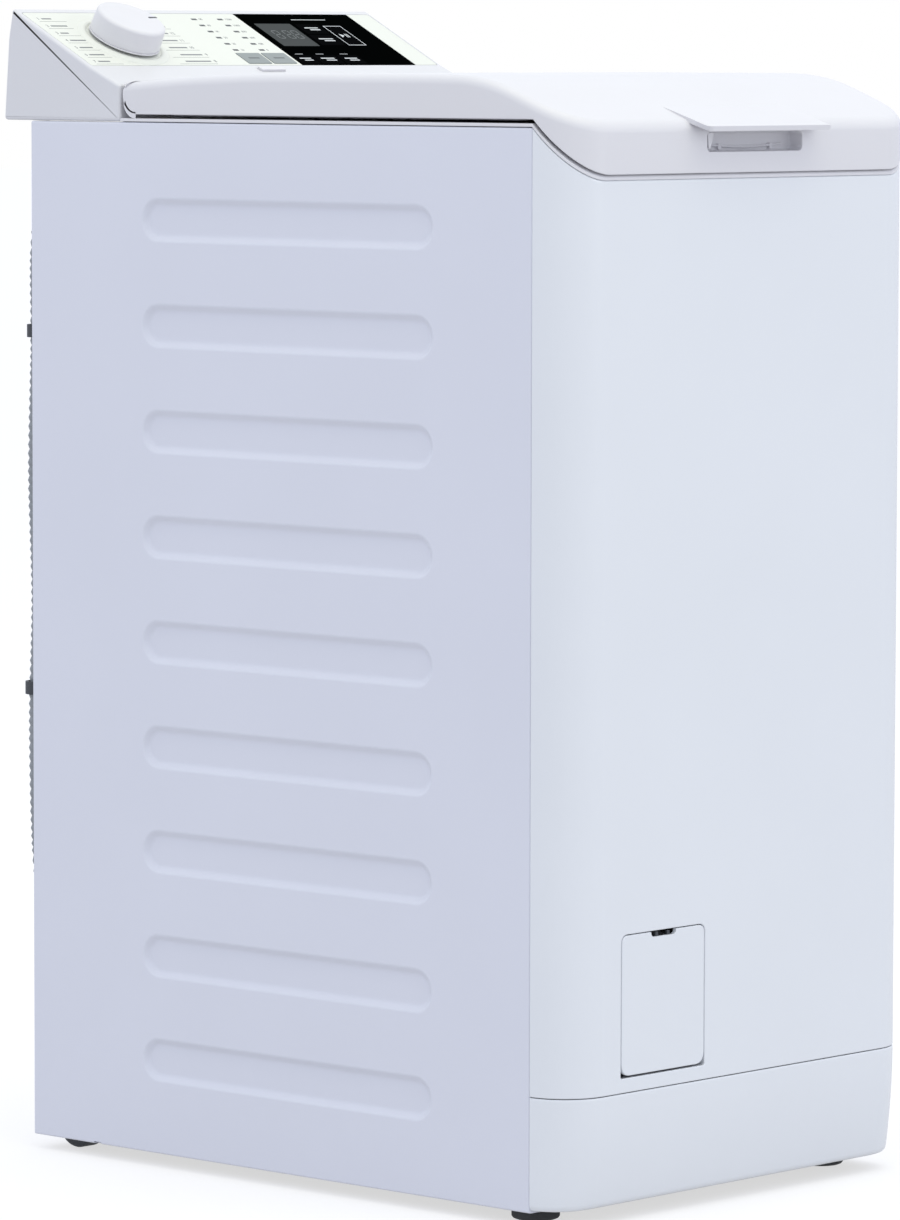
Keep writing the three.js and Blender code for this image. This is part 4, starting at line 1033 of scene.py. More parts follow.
def build_console(console):
    edge = console.edge_radius / MM
    shell = slab("console_shell", console_outline(), "X", -HALF, HALF, (edge, edge), 6)
    hollow = [
        (NOSE + 3.2, CONSOLE_LOW - 5), (CONSOLE_REAR - 3.2, CONSOLE_LOW - 5),
        (CONSOLE_REAR - 9, 868), on_face(SLOPE_LENGTH - 10, 3.2), on_face(STRIP, 3.2),
        (NOSE + 3.2, 828.5),
    ]
    cut(shell, slab("hollow", hollow, "X", -HALF + 3, HALF - 3))
    x0, x1, u0, u1 = INSET
    seat = on_slope(slab("seat", rounded(*grown(INSET, GAP), 3), "Z", -2.8, 8))
    window = on_slope(slab("window", rounded(-188, 188, u0 + 1.2, 118, 4), "Z", -14, 8))
    power = on_slope(slab("hole", rounded(*grown(KEYS["power"], GAP), 1.2), "Z", -14, 8))
    cut(shell, seat, window, power)
    bevel(shell, 0.35, lambda p: near_seat(p, x0, x1, u0, u1), 2)
    complete(shell, "root", "Console White", "white_plastic", "console_housing", angle=35)


def near_seat(p, x0, x1, u0, u1):
    """Whether a point is on the rim of the recess that holds the fascia."""
    u = (p.y - NOSE) * math.cos(SLOPE) + (p.z - SLOPE_FOOT) * math.sin(SLOPE)
    w = -(p.y - NOSE) * math.sin(SLOPE) + (p.z - SLOPE_FOOT) * math.cos(SLOPE)
    return abs(w) < 0.1 and x0 - 1 < p.x < x1 + 1 and u0 - 1 < u < u1 + 1


INSET = (-196.0, 196.0, 38.5, 126.5)
GLASS = (37.5, 169.5, 38.5, 126.5)
KNOB_U = 76.6
KEYS = {
    "temperature": (-20.5, 5.5, 41, 58.5),
    "spin": (8, 34, 41, 58.5),
    "prewash": (39.5, 61, 40.5, 54.5),
    "rinse_plus": (63, 89, 40.5, 54.5),
    "softener_plus": (91, 115, 40.5, 54.5),
    "delay_start": (91.5, 118.5, 72, 90),
    "time": (92.5, 118.5, 91.5, 108.5),
    "start_pause": (121, 143.5, 70.5, 106),
    "power": (-20, 7, 26.5, 32.5),
}
PRINT = 0.07


def key_tools():
    return [
        slab("hole", rounded(*grown(place, GAP), 1.2, 3), "Z", -10, 8)
        for name, place in KEYS.items() if name != "power"
    ]


def build_fascia():
    x0, x1, u0, u1 = INSET
    panel = slab("fascia", rounded(x0, x1, u0, u1, 2.6), "Z", -2.4, 0, (0, 0.35), 2)
    collar = turned("collar", [
        (0, -1), (38, -1), (38, 0), (37.6, 0.5), (36.4, 1.1), (34.6, 1.7), (33, 2.0), (31.6, 1.7),
        (30.8, 0.9), (0, 0.9),
    ], "Z", (KNOB_X, KNOB_U, 0), 72)
    fuse(panel, collar)
    g0, g1, _, _ = GLASS
    cut(panel, box("seat", g0 - 0.3, g1 + 0.3, 0, 200, -1.5, 5), *key_tools())
    cut(panel, turned("bore", disc(8, -10, 5), "Z", (KNOB_X, KNOB_U, 0), 24))
    on_slope(panel)
    complete(panel, "root", "Fascia Plastic", "fascia_plastic", "console_fascia", angle=35)


def build_display():
    g0, g1, u0, u1 = GLASS
    glass = slab("glass_panel", rounded(g0, g1, u0, u1, 1.2, 3), "Z", -1.2, 0, (0, 0.3), 2)
    cut(glass, *key_tools())
    cut(glass, slab("window_seat", rounded(46.5, 88.5, 71, 110, 1, 2), "Z", -0.25, 4))
    complete(on_slope(glass), "root", "Black Glass", "black_glass", "display_panel", angle=35)
    screen = slab("screen", rounded(46.7, 88.3, 71.2, 109.8, 0.9, 2), "Z", -0.3, -0.08)
    complete(on_slope(screen), "root", "Display", "black_glass")


def seven_segments(x, u, width, height, t=1.1):
    """The bars of one unlit digit on the display."""
    half = height / 2
    bars = [(x + t, x + width - t, u + h, u + h + t) for h in (0, half - t / 2, height - t)]
    bars += [(x + a, x + a + t, u + b + 0.9, u + b + half - 0.9)
             for a in (0, width - t) for b in (0, half)]
    return bars


def bars_on_slope(name, bars, low, high, finish, slot, body="root"):
    pieces = [slab("bar", [(a, c), (b, c), (b, d), (a, d)], "Z", low, high) for a, b, c, d in bars]
    return complete(on_slope(joined(name, *pieces)), body, finish, slot, weighted=False)


def written(text, x, u, size, w=0.0, depth=PRINT, align="CENTER"):
    """Raised print of a number or sign, as a mesh in the sloped face's own plane."""
    deselect()
    bpy.ops.object.text_add(location=(0, 0, 0))
    obj = bpy.context.object
    obj.data.body = text
    obj.data.size = size * MM
    obj.data.align_x = align
    obj.data.align_y = "CENTER"
    obj.data.extrude = depth / 2 * MM
    obj.data.resolution_u = 3
    bpy.ops.object.convert(target="MESH")
    obj = bpy.context.object
    bpy.ops.object.mode_set(mode="EDIT")
    bpy.ops.mesh.select_all(action="SELECT")
    bpy.ops.mesh.remove_doubles(threshold=1e-6)
    bpy.ops.object.mode_set(mode="OBJECT")
    obj.data.transform(Matrix.Translation(Vector((x, u, w + depth / 2)) * MM))
    return obj


PROGRAMME_ROWS = [113.5, 101.5, 89.5, 77.5, 65.5, 53.5, 42.5]


def build_print():
    """Numbers, dashes and lead lines on the white panel. The marks are generic."""
    marks = []
    lengths = [18, 31, 15, 30, 24, 28, 22]
    for i, u in enumerate(PROGRAMME_ROWS):
        marks.append(written(str(i + 1), -187, u + 2.5, 5.0))
        marks.append(written(str(14 - i), -61 if i < 5 else -55, u + 2.5, 5.0))
        left_end = -187 + 4 + lengths[i] * 0.55
        for a, b in ((-183.5, left_end), (-88 + 2 * (i % 3), -66 if i < 5 else -60)):
            marks.append(dash(a, b, u + 1.6, u + 3.4))
        marks.append(dash(-189, -160 + min(i, 6 - i) * -2.6, u - 2.0, u - 1.7))
        marks.append(dash(-98 + min(i, 6 - i) * 2.2, -56, u - 2.0, u - 1.7))
    temperatures = ["90", "60", "40", "30", "20", "10"]
    speeds = ["1200", "1000", "800", "600", "400", "0"]
    bars = []
    for i in range(6):
        u = 116.5 - i * 10.5
        bars += [(-18, -12.2, u - 1.2, u + 1.2), (11.5, 17.3, u - 1.2, u + 1.2)]
        marks.append(written(temperatures[i], -9.4, u, 3.8, align="LEFT"))
        marks.append(written(speeds[i], 20, u, 3.8, align="LEFT"))
    marks.append(dash(-22, 9, 22.6, 23.1))
    print_piece = complete(on_slope(joined("fascia_print", *marks)), "root", "Grey Print",
                           "fascia_plastic", weighted=False)
    bars_on_slope("led_bars", bars, -0.02, 0.12, "Dark Print", "black_glass")
    return print_piece


def dash(a, b, c, d, w=0.0):
    return slab("dash", [(a, c), (b, c), (b, d), (a, d)], "Z", w, w + PRINT)


def build_glass_print():
    """Fine pale marks on the black glass: a digit display, dashes and the start key's frame."""
    digits = []
    for i in range(3):
        digits += seven_segments(54.5 + i * 9.6 + (2.6 if i else 0), 84, 7.4, 14)
    bars_on_slope("digit_bars", digits, -0.1, -0.03, "Display Mark", "black_glass")
    marks = [dash(*bar) for bar in (
        (98, 113, 104.6, 105.2), (98, 107, 101.6, 102.2), (98, 113, 86.0, 86.6), (98, 107, 83.0, 83.6),
        (46, 55, 56.9, 57.4), (70, 79, 56.9, 57.4), (98, 107, 56.9, 57.4),
        (96, 136, 116.2, 117.0),
    )]
    complete(on_slope(joined("glass_print", *marks)), "root", "White Print", "black_glass",
             weighted=False)


def build_keys():
    looks = {"temperature": ("Grey Key", "grey_key"), "spin": ("Grey Key", "grey_key"),
             "power": ("White Plastic", "white_plastic")}
    for name, (x0, x1, u0, u1) in KEYS.items():
        finish, slot = looks.get(name, ("Black Key", "black_key"))
        proud = 2.5 if name == "power" else 0.5
        cap = slab(f"{name}_cap", rounded(x0, x1, u0, u1, 0.9, 4), "Z", -4.5, proud, (0.3, 0.35), 3)
        x, u = (x0 + x1) / 2, (u0 + u1) / 2
        stem = box("stem", x - 2.5, x + 2.5, u - 2.5, u + 2.5, -8.5, -4, 0.5)
        fuse(cap, stem)
        body = f"{name}_key"
        complete(on_slope(cap), body, finish, slot, f"{name}_button", angle=35)
        marks, ink = key_marks(name, x0, x1, u0, u1, proud)
        if marks:
            sign = on_slope(joined(f"{name}_sign", *marks))
            complete(sign, body, ink, slot, weighted=False)


def key_marks(name, x0, x1, u0, u1, w):
    """The small sign on a key: dashes, or the triangle and bars of a start and pause key."""
    x, u = (x0 + x1) / 2, (u0 + u1) / 2
    if name == "power":
        return [], ""
    if name == "start_pause":
        frame_bars = [
            (x0 + 1, x1 - 1, u1 - 1.7, u1 - 1), (x0 + 1, x1 - 1, u0 + 1, u0 + 1.7),
            (x0 + 1, x0 + 1.7, u0 + 1.7, u1 - 1.7), (x1 - 1.7, x1 - 1, u0 + 1.7, u1 - 1.7),
        ]
        triangle = slab("triangle", [(x - 4.5, u - 3), (x - 4.5, u + 3), (x - 0.2, u)], "Z", w,
                        w + PRINT)
        pause = [(x + 1.4, x + 2.4, u - 3, u + 3), (x + 3.6, x + 4.6, u - 3, u + 3)]
        return [triangle, *[dash(*bar, w) for bar in frame_bars + pause]], "White Print"
    if name in ("temperature", "spin"):
        return [dash(x - 6, x + 6, u - 0.9, u + 0.9, w)], "Grey Sign"
    long = (x1 - x0) * 0.3
    return [dash(x - long, x + long, u + 0.8, u + 2.2, w),
            dash(x - long * 0.5, x + long, u - 2.4, u - 1.0, w)], "White Print"


def build_knob(console):
    """A turned knob: a slightly tapering skirt with a shadow line low down, and a dished top."""
    r, height = console.knob_diameter / MM / 2, 22.0
    profile = [
        (3.3, 4), (r - 3, 4), (r - 1.2, 3), (r + 0.1, 3), (r + 0.5, 3.3), (r + 0.5, 4.0),
        (r + 0.35, 4.25), (r - 0.35, 4.4), (r - 0.35, 5.1), (r + 0.25, 5.3),
        (r + 0.2, 8), (r - 0.05, 14), (r - 0.3, 18.4),
        *[(r - 3.2 + 2.9 * math.cos(math.radians(t)), height - 2.9 + 2.9 * math.sin(math.radians(t)))
          for t in range(10, 91, 16)],
        (r - 6, height - 0.05), (r - 14, height - 0.35), (8, height - 0.6), (0, height - 0.65),
    ]
    body = turned("knob_body", [*profile, (0, 17), (3.3, 17), (3.3, 4)], "Z", (KNOB_X, KNOB_U, 0), 96)
    complete(on_slope(body), "knob", "White Plastic", "white_plastic", "program_knob", angle=40)
    mark = slab("mark", rounded(-1.0, 1.0, 18, 27, 0.9, 4), "Z", height - 0.6, height + 0.02)
    turn = Matrix.Rotation(math.radians(-90), 4, "Z")
    mark.data.transform(turn)
    mark.data.transform(Matrix.Translation(Vector((KNOB_X, KNOB_U, 0)) * MM))
    on_slope(mark)
    mark.name = "knob_mark"
    complete(mark, "knob", "Dark Print", "white_plastic", weighted=False)


# ---------------------------------------------------------------- back

HOSE_ROUTE = [
    (-140, 262, 120), (-140, 274, 120), (-142, 284, 124), (-150, 290, 140), (-163, 291, 175),
    (-172, 291, 230), (-175, 291, 330), (-172, 291, 430), (-175, 291, 530), (-172, 291, 630),
    (-172, 291, 700), (-164, 291, 744), (-142, 291, 768), (-112, 291, 772), (-84, 291, 756),
    (-70, 291, 720), (-66, 291, 640), (-66, 291, 480), (-66, 291, 320),
]


def build_hose():
    """A corrugated hose: smooth cuffs at both ends and round rings in between."""
    path = smooth_path(HOSE_ROUTE, 1.7)
    count = len(path)
    cuff = 14

    def radius(share):
        i = round(share * (count - 1))
        if i < cuff or i > count - cuff:
            return 10.4
        return (10.7, 10.1, 9.4, 10.1)[i % 4]

    hose = tube("hose", path, radius, 14)
    complete(hose, "root", "Hose Rubber", "hose_rubber", "drain_hose", angle=70, weighted=False)
    clips = []
    for z, x in ((640, -172), (360, -175), (560, -66)):
        ring = surface("clip", [
            [(x + a, 291 + b, z + h) for a, b in arc(0, 0, r, -60, 240, 20)]
            for r, h in ((11.4, -5), (13.2, -5), (13.2, 5), (11.4, 5), (11.4, -5))
        ])
        with editing(ring):
            bpy.ops.mesh.fill_holes(sides=0)
            bpy.ops.mesh.normals_make_consistent(inside=False)
        stem = box("stem", x - 4, x + 4, REAR - 0.5, 281, z - 5, z + 5, 0.8)
        clips += [ring, stem]
    complete(joined("hose_clips", *clips), "root", "Dark Plastic", "dark_plastic")


def screw_heads(name, places, y):
    """Cross-headed pan screws that face backwards."""
    heads = []
    for x, z in places:
        head = turned("head", [(0, y), (4.1, y), (4.2, y + 0.6), (3.6, y + 1.6), (2.2, y + 2.2),
                               (0, y + 2.4)], "Y", (x, 0, z), 20)
        for w, h in ((2.4, 0.5), (0.5, 2.4)):
            cut(head, slab("slot", [(x - w, z - h), (x + w, z - h), (x + w, z + h), (x - w, z + h)],
                           "Y", y + 1.2, y + 4))
        heads.append(head)
    return complete(joined(name, *heads), "root", "Zinc Steel", "steel")


def build_rear_panel():
    """The flat back sheet, with a swaged border and beads, round the service opening."""
    (x0, _, z0), (x1, _, z1) = span("rear_panel")
    sheet = slab("back_sheet", rounded(x0, x1, z0, z1, 6, 4), "Y", REAR - 1.2, REAR, (0, 0.3), 2)
    for bead_x in (-20, -110):
        bead = slab("bead", [
            (bead_x + a, 430 + b) for a, b in [(-q, p) for p, q in obround(150, 9, 8)]
        ], "Y", REAR - 4, REAR - 1.0, (2.5, 0.0), 3)
        groove = slab("groove", [
            (bead_x + a, 430 + b) for a, b in [(-q, p) for p, q in obround(150, 8, 8)]
        ], "Y", REAR - 2.9, REAR + 3, (2.2, 0.0), 3)
        fuse(sheet, bead)
        cut(sheet, groove)
    cut(
        sheet,
        slab("opening", rounded(20, 170, 262, 598, 12), "Y", REAR - 5, REAR + 5),
        turned("valve_hole", disc(11, REAR - 5, REAR + 5), "Y", (140, 0, 730), 40),
        turned("hose_hole", disc(14, REAR - 5, REAR + 5), "Y", (-141, 0, 121), 40),
    )
    vents = [slab("vent", rounded(-150 + i * 14, -144 + i * 14, 700, 740, 2.9, 4), "Y", REAR - 5,
                  REAR + 5) for i in range(4)]
    cut(sheet, joined("vents", *vents))
    # The back takes the enamel copy that is painted darker and bluer: painted shade.
    complete(sheet, "root", "Enamel", "enamel", "rear_panel", angle=30)
    edges = [(x, z) for x in (x0 + 7, x1 - 7) for z in (z0 + 20, 205, 640, z1 - 14)]
    screw_heads("back_screws", edges, REAR)
    (_, low_y, _), (_, _, _) = span("rear_access_cover")
    plate = slab("service_cover", rounded(10, 180, 252, 608, 12), "Y", low_y, low_y + 1.2, (0, 0.3), 2)
    raised = slab("raised", rounded(32, 158, 274, 586, 14), "Y", low_y, low_y + 5.2, (0, 3.4), 5)
    hollow = slab("hollow", rounded(33.4, 156.6, 275.4, 584.6, 13), "Y", low_y - 3, low_y + 4,
                  (0, 3), 4)
    cut(fuse(plate, raised), hollow)
    complete(plate, "root", "Enamel", "enamel", "rear_access_cover", angle=32)
    places = [(x, z) for x in (19, 171) for z in (262, 430, 598)]
    screw_heads("cover_screws", places, low_y + 1.2)


def build_inlet_valve():
    """A solenoid valve whose threaded stub comes out through the back."""
    (_, _, z0), (_, _, _) = span("inlet_valve")
    body = box("valve", 118, 162, 215, 262, 700, 760, 3.0, 3)
    for z in (712, 724, 736, 748):
        fuse(body, box("fin", 116.8, 163.2, 222, 256, z - 1.2, z + 1.2, 0.4, 1))
    fuse(body, box("outlet", 126, 154, 225, 255, z0, 702, 3.0, 3))
    stub = [(0, 250), (15, 250), (16, 251), (16, REAR - 3.6), (15.4, REAR - 3), (10, REAR - 3)]
    y = REAR - 2
    while y < 295:
        stub += [(8.9, y), (10, y + 0.5), (10, y + 1.0), (8.9, y + 1.5)]
        y += 1.9
    stub += [(9.4, 296.4), (8.8, 297), (6.5, 297), (6.2, 292), (0, 292)]
    fuse(body, turned("stub", stub, "Y", (140, 0, 730), 40))
    complete(body, "root", "White Plastic", "white_plastic", "inlet_valve", angle=32)
    mesh_disc = turned("strainer", [(0, 292.2), (5.8, 292.2), (5.8, 292.8), (0, 293.4)], "Y",
                       (140, 0, 730), 24)
    complete(mesh_disc, "root", "Zinc Steel", "steel")


def build_console_base():
    """The console's bottom plate, its tray behind the cabinet and two quarter-round gussets."""
    top = span("console_base")[1][2]
    base = box("base_plate", -HALF + 3, HALF - 3, NOSE + 3, REAR - 2, 801.4, top, 0.5)
    fuse(base, box("bridge", -185, 185, REAR - 3, REAR + 4, 801.4, top))
    tray = slab("tray", rounded(-HALF + 1, HALF - 1, REAR + 0.6, 301, 8, 8), "Z", 799.6, top,
                (1.2, 0.3), 4)
    fuse(base, tray)
    for x in (-HALF + 1.5, HALF - 13.5):
        quarter = [(REAR + 0.6, 784.5), (REAR + 0.6, 800.5), (REAR + 16.5, 800.5),
                   *[(REAR + 16.5 - 15.4 * math.sin(math.radians(t)),
                      800 - 15.4 * (1 - math.cos(math.radians(t)))) for t in range(10, 90, 10)]]
        fuse(base, slab("gusset", quarter, "X", x, x + 12, (0.8, 0.8), 2))
    cut(base, turned("cord_hole", disc(6, 780, 820), "Z", (150, 289, 0), 32))
    complete(base, "root", "Pale Plastic", "blue_grey_plastic", "console_base", angle=32)


# ---------------------------------------------------------------- under the lid


def build_liner():
    """The lid's inner plate with its raised border, hinge lugs, hook and drawer housing."""
    plate = box("liner", -HALF + 3.4, HALF - 3.4, -243, 152, 811, 813, 0.6)
    bead_out = slab("bead", rounded(-HALF + 12, HALF - 12, -232, 140, 14, 8), "Z", 808.8, 812,
                    (1.4, 0), 3)
    bead_in = slab("bead_hollow", rounded(-HALF + 18, HALF - 18, -226, 134, 9, 8), "Z", 805, 811.0,
                   (0, 0), 3)
    cut(bead_out, bead_in)
    fuse(plate, bead_out)
    housing = slab("housing", rounded(-104, 104, -50, 95, 6, 5), "Z", 752, 812, (3.0, 0), 4)
    cut(housing, box("cavity", -102, 102, -51, 93, 754, 811))
    fuse(plate, housing)
    for x in (-130, 130):
        arm = slab("arm", [
            (146, 811.5), (PIVOT_Y + 7, 811.5), *arc(PIVOT_Y, PIVOT_Z, 7, -10, 190, 12), (146, 822),
        ], "X", x - 4, x + 4, (0.6, 0.6), 2)
        fuse(plate, arm)
    latch_x, latch_y, _ = centre("door_lock")
    latch_x -= 2
    hook = slab("hook", [
        (latch_y - 3, 812), (latch_y - 3, 795), (latch_y - 1.5, 793), (latch_y + 4, 793),
        (latch_y + 6, 796), (latch_y + 6, 797), (latch_y + 3, 797.4), (latch_y + 3, 812),
    ], "X", latch_x - 4, latch_x + 4, (0.5, 0.5), 2)
    fuse(plate, hook)
    cut(plate, turned("rod_hole", disc(3.3, -HALF, HALF), "X", (0, PIVOT_Y, PIVOT_Z), 24))
    complete(plate, "lid", "White Plastic", "white_plastic", "lid_liner", angle=32)
    rod = turned("hinge_rod", [(0, -190), (2.4, -190), (3, -189.2), (3, 189.2), (2.4, 190), (0, 190)],
                 "X", (0, PIVOT_Y, PIVOT_Z), 24)
    complete(rod, "lid", "Zinc Steel", "steel", "lid_hinge_rod")


def build_drawer():
    """A tray of three cells that slides out of the lid's housing."""
    (x0, y0, z0), (x1, y1, z1) = span("detergent_drawer")
    tray = slab("soap_drawer", rounded(x0, x1, y0, y1, 5, 5), "Z", z0, z1, (2.0, 0.5), 3)
    for a, b in ((-98.5, -34), (-31, 31), (34, 98.5)):
        cut(tray, slab("cell", rounded(a, b, y0 + 2.4, y1 - 2.5, 5, 5), "Z", z0 + 2, z1 + 4,
                       (3, 0), 3))
    complete(tray, "drawer", "Pale Plastic", "blue_grey_plastic", "detergent_drawer", angle=35)


def build_gasket():
    """A rubber bellows between the tub's neck and the throat, made to give as the tub moves; here it
    keeps one resting shape.
    """
    (_, _, z0), (_, _, z1) = span("tub_gasket")
    middle = (z0 + z1) / 2
    waves = [(0.2, z0), (2.0, z0), (2.4, z0 + 1.2), (1.6, middle - 5), (2.4, middle - 3.4),
             (3.6, middle - 2), (4.0, middle), (3.6, middle + 2), (2.4, middle + 3.4),
             (1.6, middle + 5), (2.4, z1 - 1.2), (2.0, z1), (0.2, z1)]
    inner = [(-0.4, z1 - 1.5), (0.2, middle + 4.4), (1.6, middle + 2), (2.2, middle),
             (1.6, middle - 2), (0.2, middle - 4.4), (-0.4, z0 + 1.5)]
    rows = [[(a, b, h) for a, b in rounded(*grown(THROAT, grow), 18 + grow, 10)]
            for grow, h in [*waves, *inner, waves[0]]]
    seal = surface("neck_gasket", rows, closed=True)
    finish_soft(seal, "Seal Rubber", "tub_gasket")


def finish_soft(obj, finish, node):
    """Shades a piece that reaches from the cabinet at its start to the tub at its end, gives it its
    finish, and leaves it fixed where it was built.
    """
    focus(obj)
    bpy.ops.object.shade_smooth_by_angle(angle=math.radians(50))
    obj.data.materials.clear()
    obj.data.materials.append(bpy.data.materials[finish])
    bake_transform(obj)
    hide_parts(node)


def build_suspension():
    """Wire coil springs above the tub and friction dampers below it."""
    for side in ("left", "right"):
        node = f"{side}_suspension_spring"
        (x0, y0, z0), (x1, _, z1) = span(node)
        x, y, wire, r = (x0 + x1) / 2, DRUM_Y, 1.7, 6.3
        turns, per_turn = 16, 16
        count = turns * per_turn
        path = [(
            x + r * math.cos(math.tau * i / per_turn), y + r * math.sin(math.tau * i / per_turn),
            z0 + wire + (z1 - z0 - 2 * wire) * i / count,
        ) for i in range(count + 1)]
        coil = tube(f"{side}_spring", path, wire, 8)
        finish_soft(coil, "Zinc Steel", node)
        node = f"{side}_damper"
        (x0, y0, z0), (x1, y1, z1) = span(node)
        x, y = (x0 + x1) / 2, (y0 + y1) / 2
        strut = turned(f"{side}_strut", [
            (0, z0), (7, z0), (8, z0 + 1), (8, 25), (12.5, 27), (14, 29), (14, 60), (13.4, 61),
            (13.4, 63), (14, 64), (14, 108), (13, 111.4), (10, 112.4), (7, 113), (6, 114),
            (6, 172), (8.6, 173), (10, 174.4), (10, z1 - 2.4), (8, z1), (0, z1),
        ], "Z", (x, y, 0), 32)
        finish_soft(strut, "Dark Plastic", node)


# ---------------------------------------------------------------- drum


def around_axle(obj):
    """Wraps a flat sheet, X along the axle and Y as arc length from the top, round the drum."""
    for v in obj.data.vertices:
        x, s, depth = (c / MM for c in v.co)
        t = s / DRUM_R
        r = DRUM_R - depth
        v.co = Vector((x, DRUM_Y + r * math.sin(t), DRUM_Z + r * math.cos(t))) * MM
    return obj


def pierced(name, x0, x1, s0, s1, drum):
    """A sheet with drain holes: one dimpled cell, repeated both ways, then wrapped round."""
    columns = max(1, round((x1 - x0) / (drum.hole_pitch / MM)))
    rows_of = max(1, round((s1 - s0) / (drum.hole_pitch / MM)))
    dx, ds = (x1 - x0) / columns, (s1 - s0) / rows_of
    r = drum.hole_diameter / MM / 2

    def ring(radius, depth):
        return [(x0 + dx / 2 + radius * math.cos(t), s0 + ds / 2 + radius * math.sin(t), depth)
                for t in (math.radians(45 * i + 22.5) for i in range(8))]

    square = [(x0 + dx / 2 + dx / 2 * a, s0 + ds / 2 + ds / 2 * b, 0) for a, b in (
        (1, 0.4), (0.4, 1), (-0.4, 1), (-1, 0.4), (-1, -0.4), (-0.4, -1), (0.4, -1), (1, -0.4))]
    corners = [(x0 + dx * (0.5 + a / 2), s0 + ds * (0.5 + b / 2), 0) for a, b in (
        (1, 1), (-1, 1), (-1, -1), (1, -1))]
    cell = surface(name, [square, ring(r * 1.5, 0), ring(r, 0.4)], closed=True)
    focus(cell)
    bpy.ops.object.mode_set(mode="EDIT")
    mesh = bmesh.from_edit_mesh(cell.data)
    near = [min(mesh.verts, key=lambda v: (v.co - Vector(p) * MM).length) for p in square]
    for i, corner in enumerate(corners):
        tip = mesh.verts.new(Vector(corner) * MM)
        mesh.faces.new((near[2 * i % 8], tip, near[(2 * i + 1) % 8]))
    bmesh.update_edit_mesh(cell.data)
    bpy.ops.object.mode_set(mode="OBJECT")
    for count, step in ((columns, (dx * MM, 0, 0)), (rows_of, (0, ds * MM, 0))):
        apply_modifier(cell, "ARRAY", count=count, use_relative_offset=False,
                       use_constant_offset=True, constant_offset_displace=step,
                       use_merge_vertices=True, merge_threshold=2e-5)
    around_axle(cell)
    return cell


def build_drum(drum):
    (x0, _, _), (x1, _, _) = span("drum_shell")
    hinge = math.asin(110 / DRUM_R) * DRUM_R
    round_way = math.tau * DRUM_R
    flap_half = 104
    body = pierced("body", x0 + 4, x1 - 4, hinge + 1, round_way - hinge - 1, drum)
    wall(body, 1.0, (0, 0, -1))
    rims = []
    for a, b in ((x0, x0 + 4.0), (x1 - 4.0, x1)):
        rims.append(turned("rim", [(DRUM_R - 1.2, a), (DRUM_R, a), (DRUM_R, b), (DRUM_R - 1.2, b),
                                   (DRUM_R - 1.2, a)], "X", (0, DRUM_Y, DRUM_Z), 96))
    bridges = [strip("bridge", a, b, -hinge, hinge) for a, b in (
        (x0 + 3.9, DRUM_X - flap_half - 1), (DRUM_X + flap_half + 1, x1 - 3.9))]
    paddles = [paddle(t) for t in (95, 180, 265)]
    shell = joined("pierced_drum", body, *rims, *bridges, *paddles)
    complete(shell, "drum", "Drum Steel", "steel", "drum_shell", angle=30, weighted=False)
    for name, s0, s1 in (("front", -hinge + 0.6, -0.5), ("rear", 0.5, hinge - 0.6)):
        leaf = pierced(f"{name}_flap_leaf", DRUM_X - flap_half + 9, DRUM_X + flap_half - 9,
                       s0 + 9 if name == "rear" else s0 + 12, s1 - 12 if name == "rear" else s1 - 9,
                       drum)
        wall(leaf, 1.0, (0, 0, 1))
        a, b = (s0 + 9, s1 - 12) if name == "rear" else (s0 + 12, s1 - 9)
        frame_bars = [
            strip("bar", DRUM_X - flap_half, DRUM_X + flap_half, s0, a),
            strip("bar", DRUM_X - flap_half, DRUM_X + flap_half, b, s1),
            strip("bar", DRUM_X - flap_half, DRUM_X - flap_half + 9, a, b),
            strip("bar", DRUM_X + flap_half - 9, DRUM_X + flap_half, a, b),
        ]
        complete(joined(f"{name}_flap_panel", leaf, *frame_bars), f"{name}_flap", "Drum Steel",
                 "steel", f"{name}_drum_flap", angle=30, weighted=False)
    (lx0, ly0, lz0), (lx1, ly1, lz1) = span("flap_latch")
    slide = slab("latch_slide", rounded(lx0, lx1, ly0, ly1, 4, 5), "Z", lz0, lz1, (0.3, 1.0), 3)
    for i in range(5):
        y = (ly0 + ly1) / 2 - 6 + i * 3
        cut(slide, box("groove", lx0 + 14, lx1 - 14, y - 0.5, y + 0.5, lz1 - 0.8, lz1 + 2))
    complete(slide, "latch", "Dark Plastic", "dark_plastic", "flap_latch")


def strip(name, x0, x1, s0, s1):
    """A plain rolled strip of the drum's sheet between two places round it."""
    steps = max(2, round((s1 - s0) / 6))
    rows = [[(x, s0 + (s1 - s0) * i / steps, 0) for x in (x0, x1)] for i in range(steps + 1)]
    sheet = around_axle(surface(name, rows))
    middle = (s0 + s1) / 2 / DRUM_R
    return wall(sheet, 1.2, (0, math.sin(middle), math.cos(middle)))


def paddle(angle):
    """A rounded lifter rib inside the drum, some degrees from the top."""
    t = math.radians(angle)
    half = 122
    rows = []
    for i in range(9):
        x = DRUM_X - half + 2 * half * i / 8
        scale = 1 - 0.12 * abs(i - 4) / 4 if 0 < i < 8 else 0.8
        row = []
        for s, h in ((-20, 0.4), (-14, 8), (-8, 24), (0, 30), (8, 24), (14, 8), (20, 0.4)):
            r = DRUM_R - 1.6 - h * scale
            a = t + s * scale / DRUM_R
            row.append((x, DRUM_Y + r * math.sin(a), DRUM_Z + r * math.cos(a)))
        rows.append(row)
    return surface("paddle", rows, closed=True, capped=True)


# ---------------------------------------------------------------- nodes kept from the frame

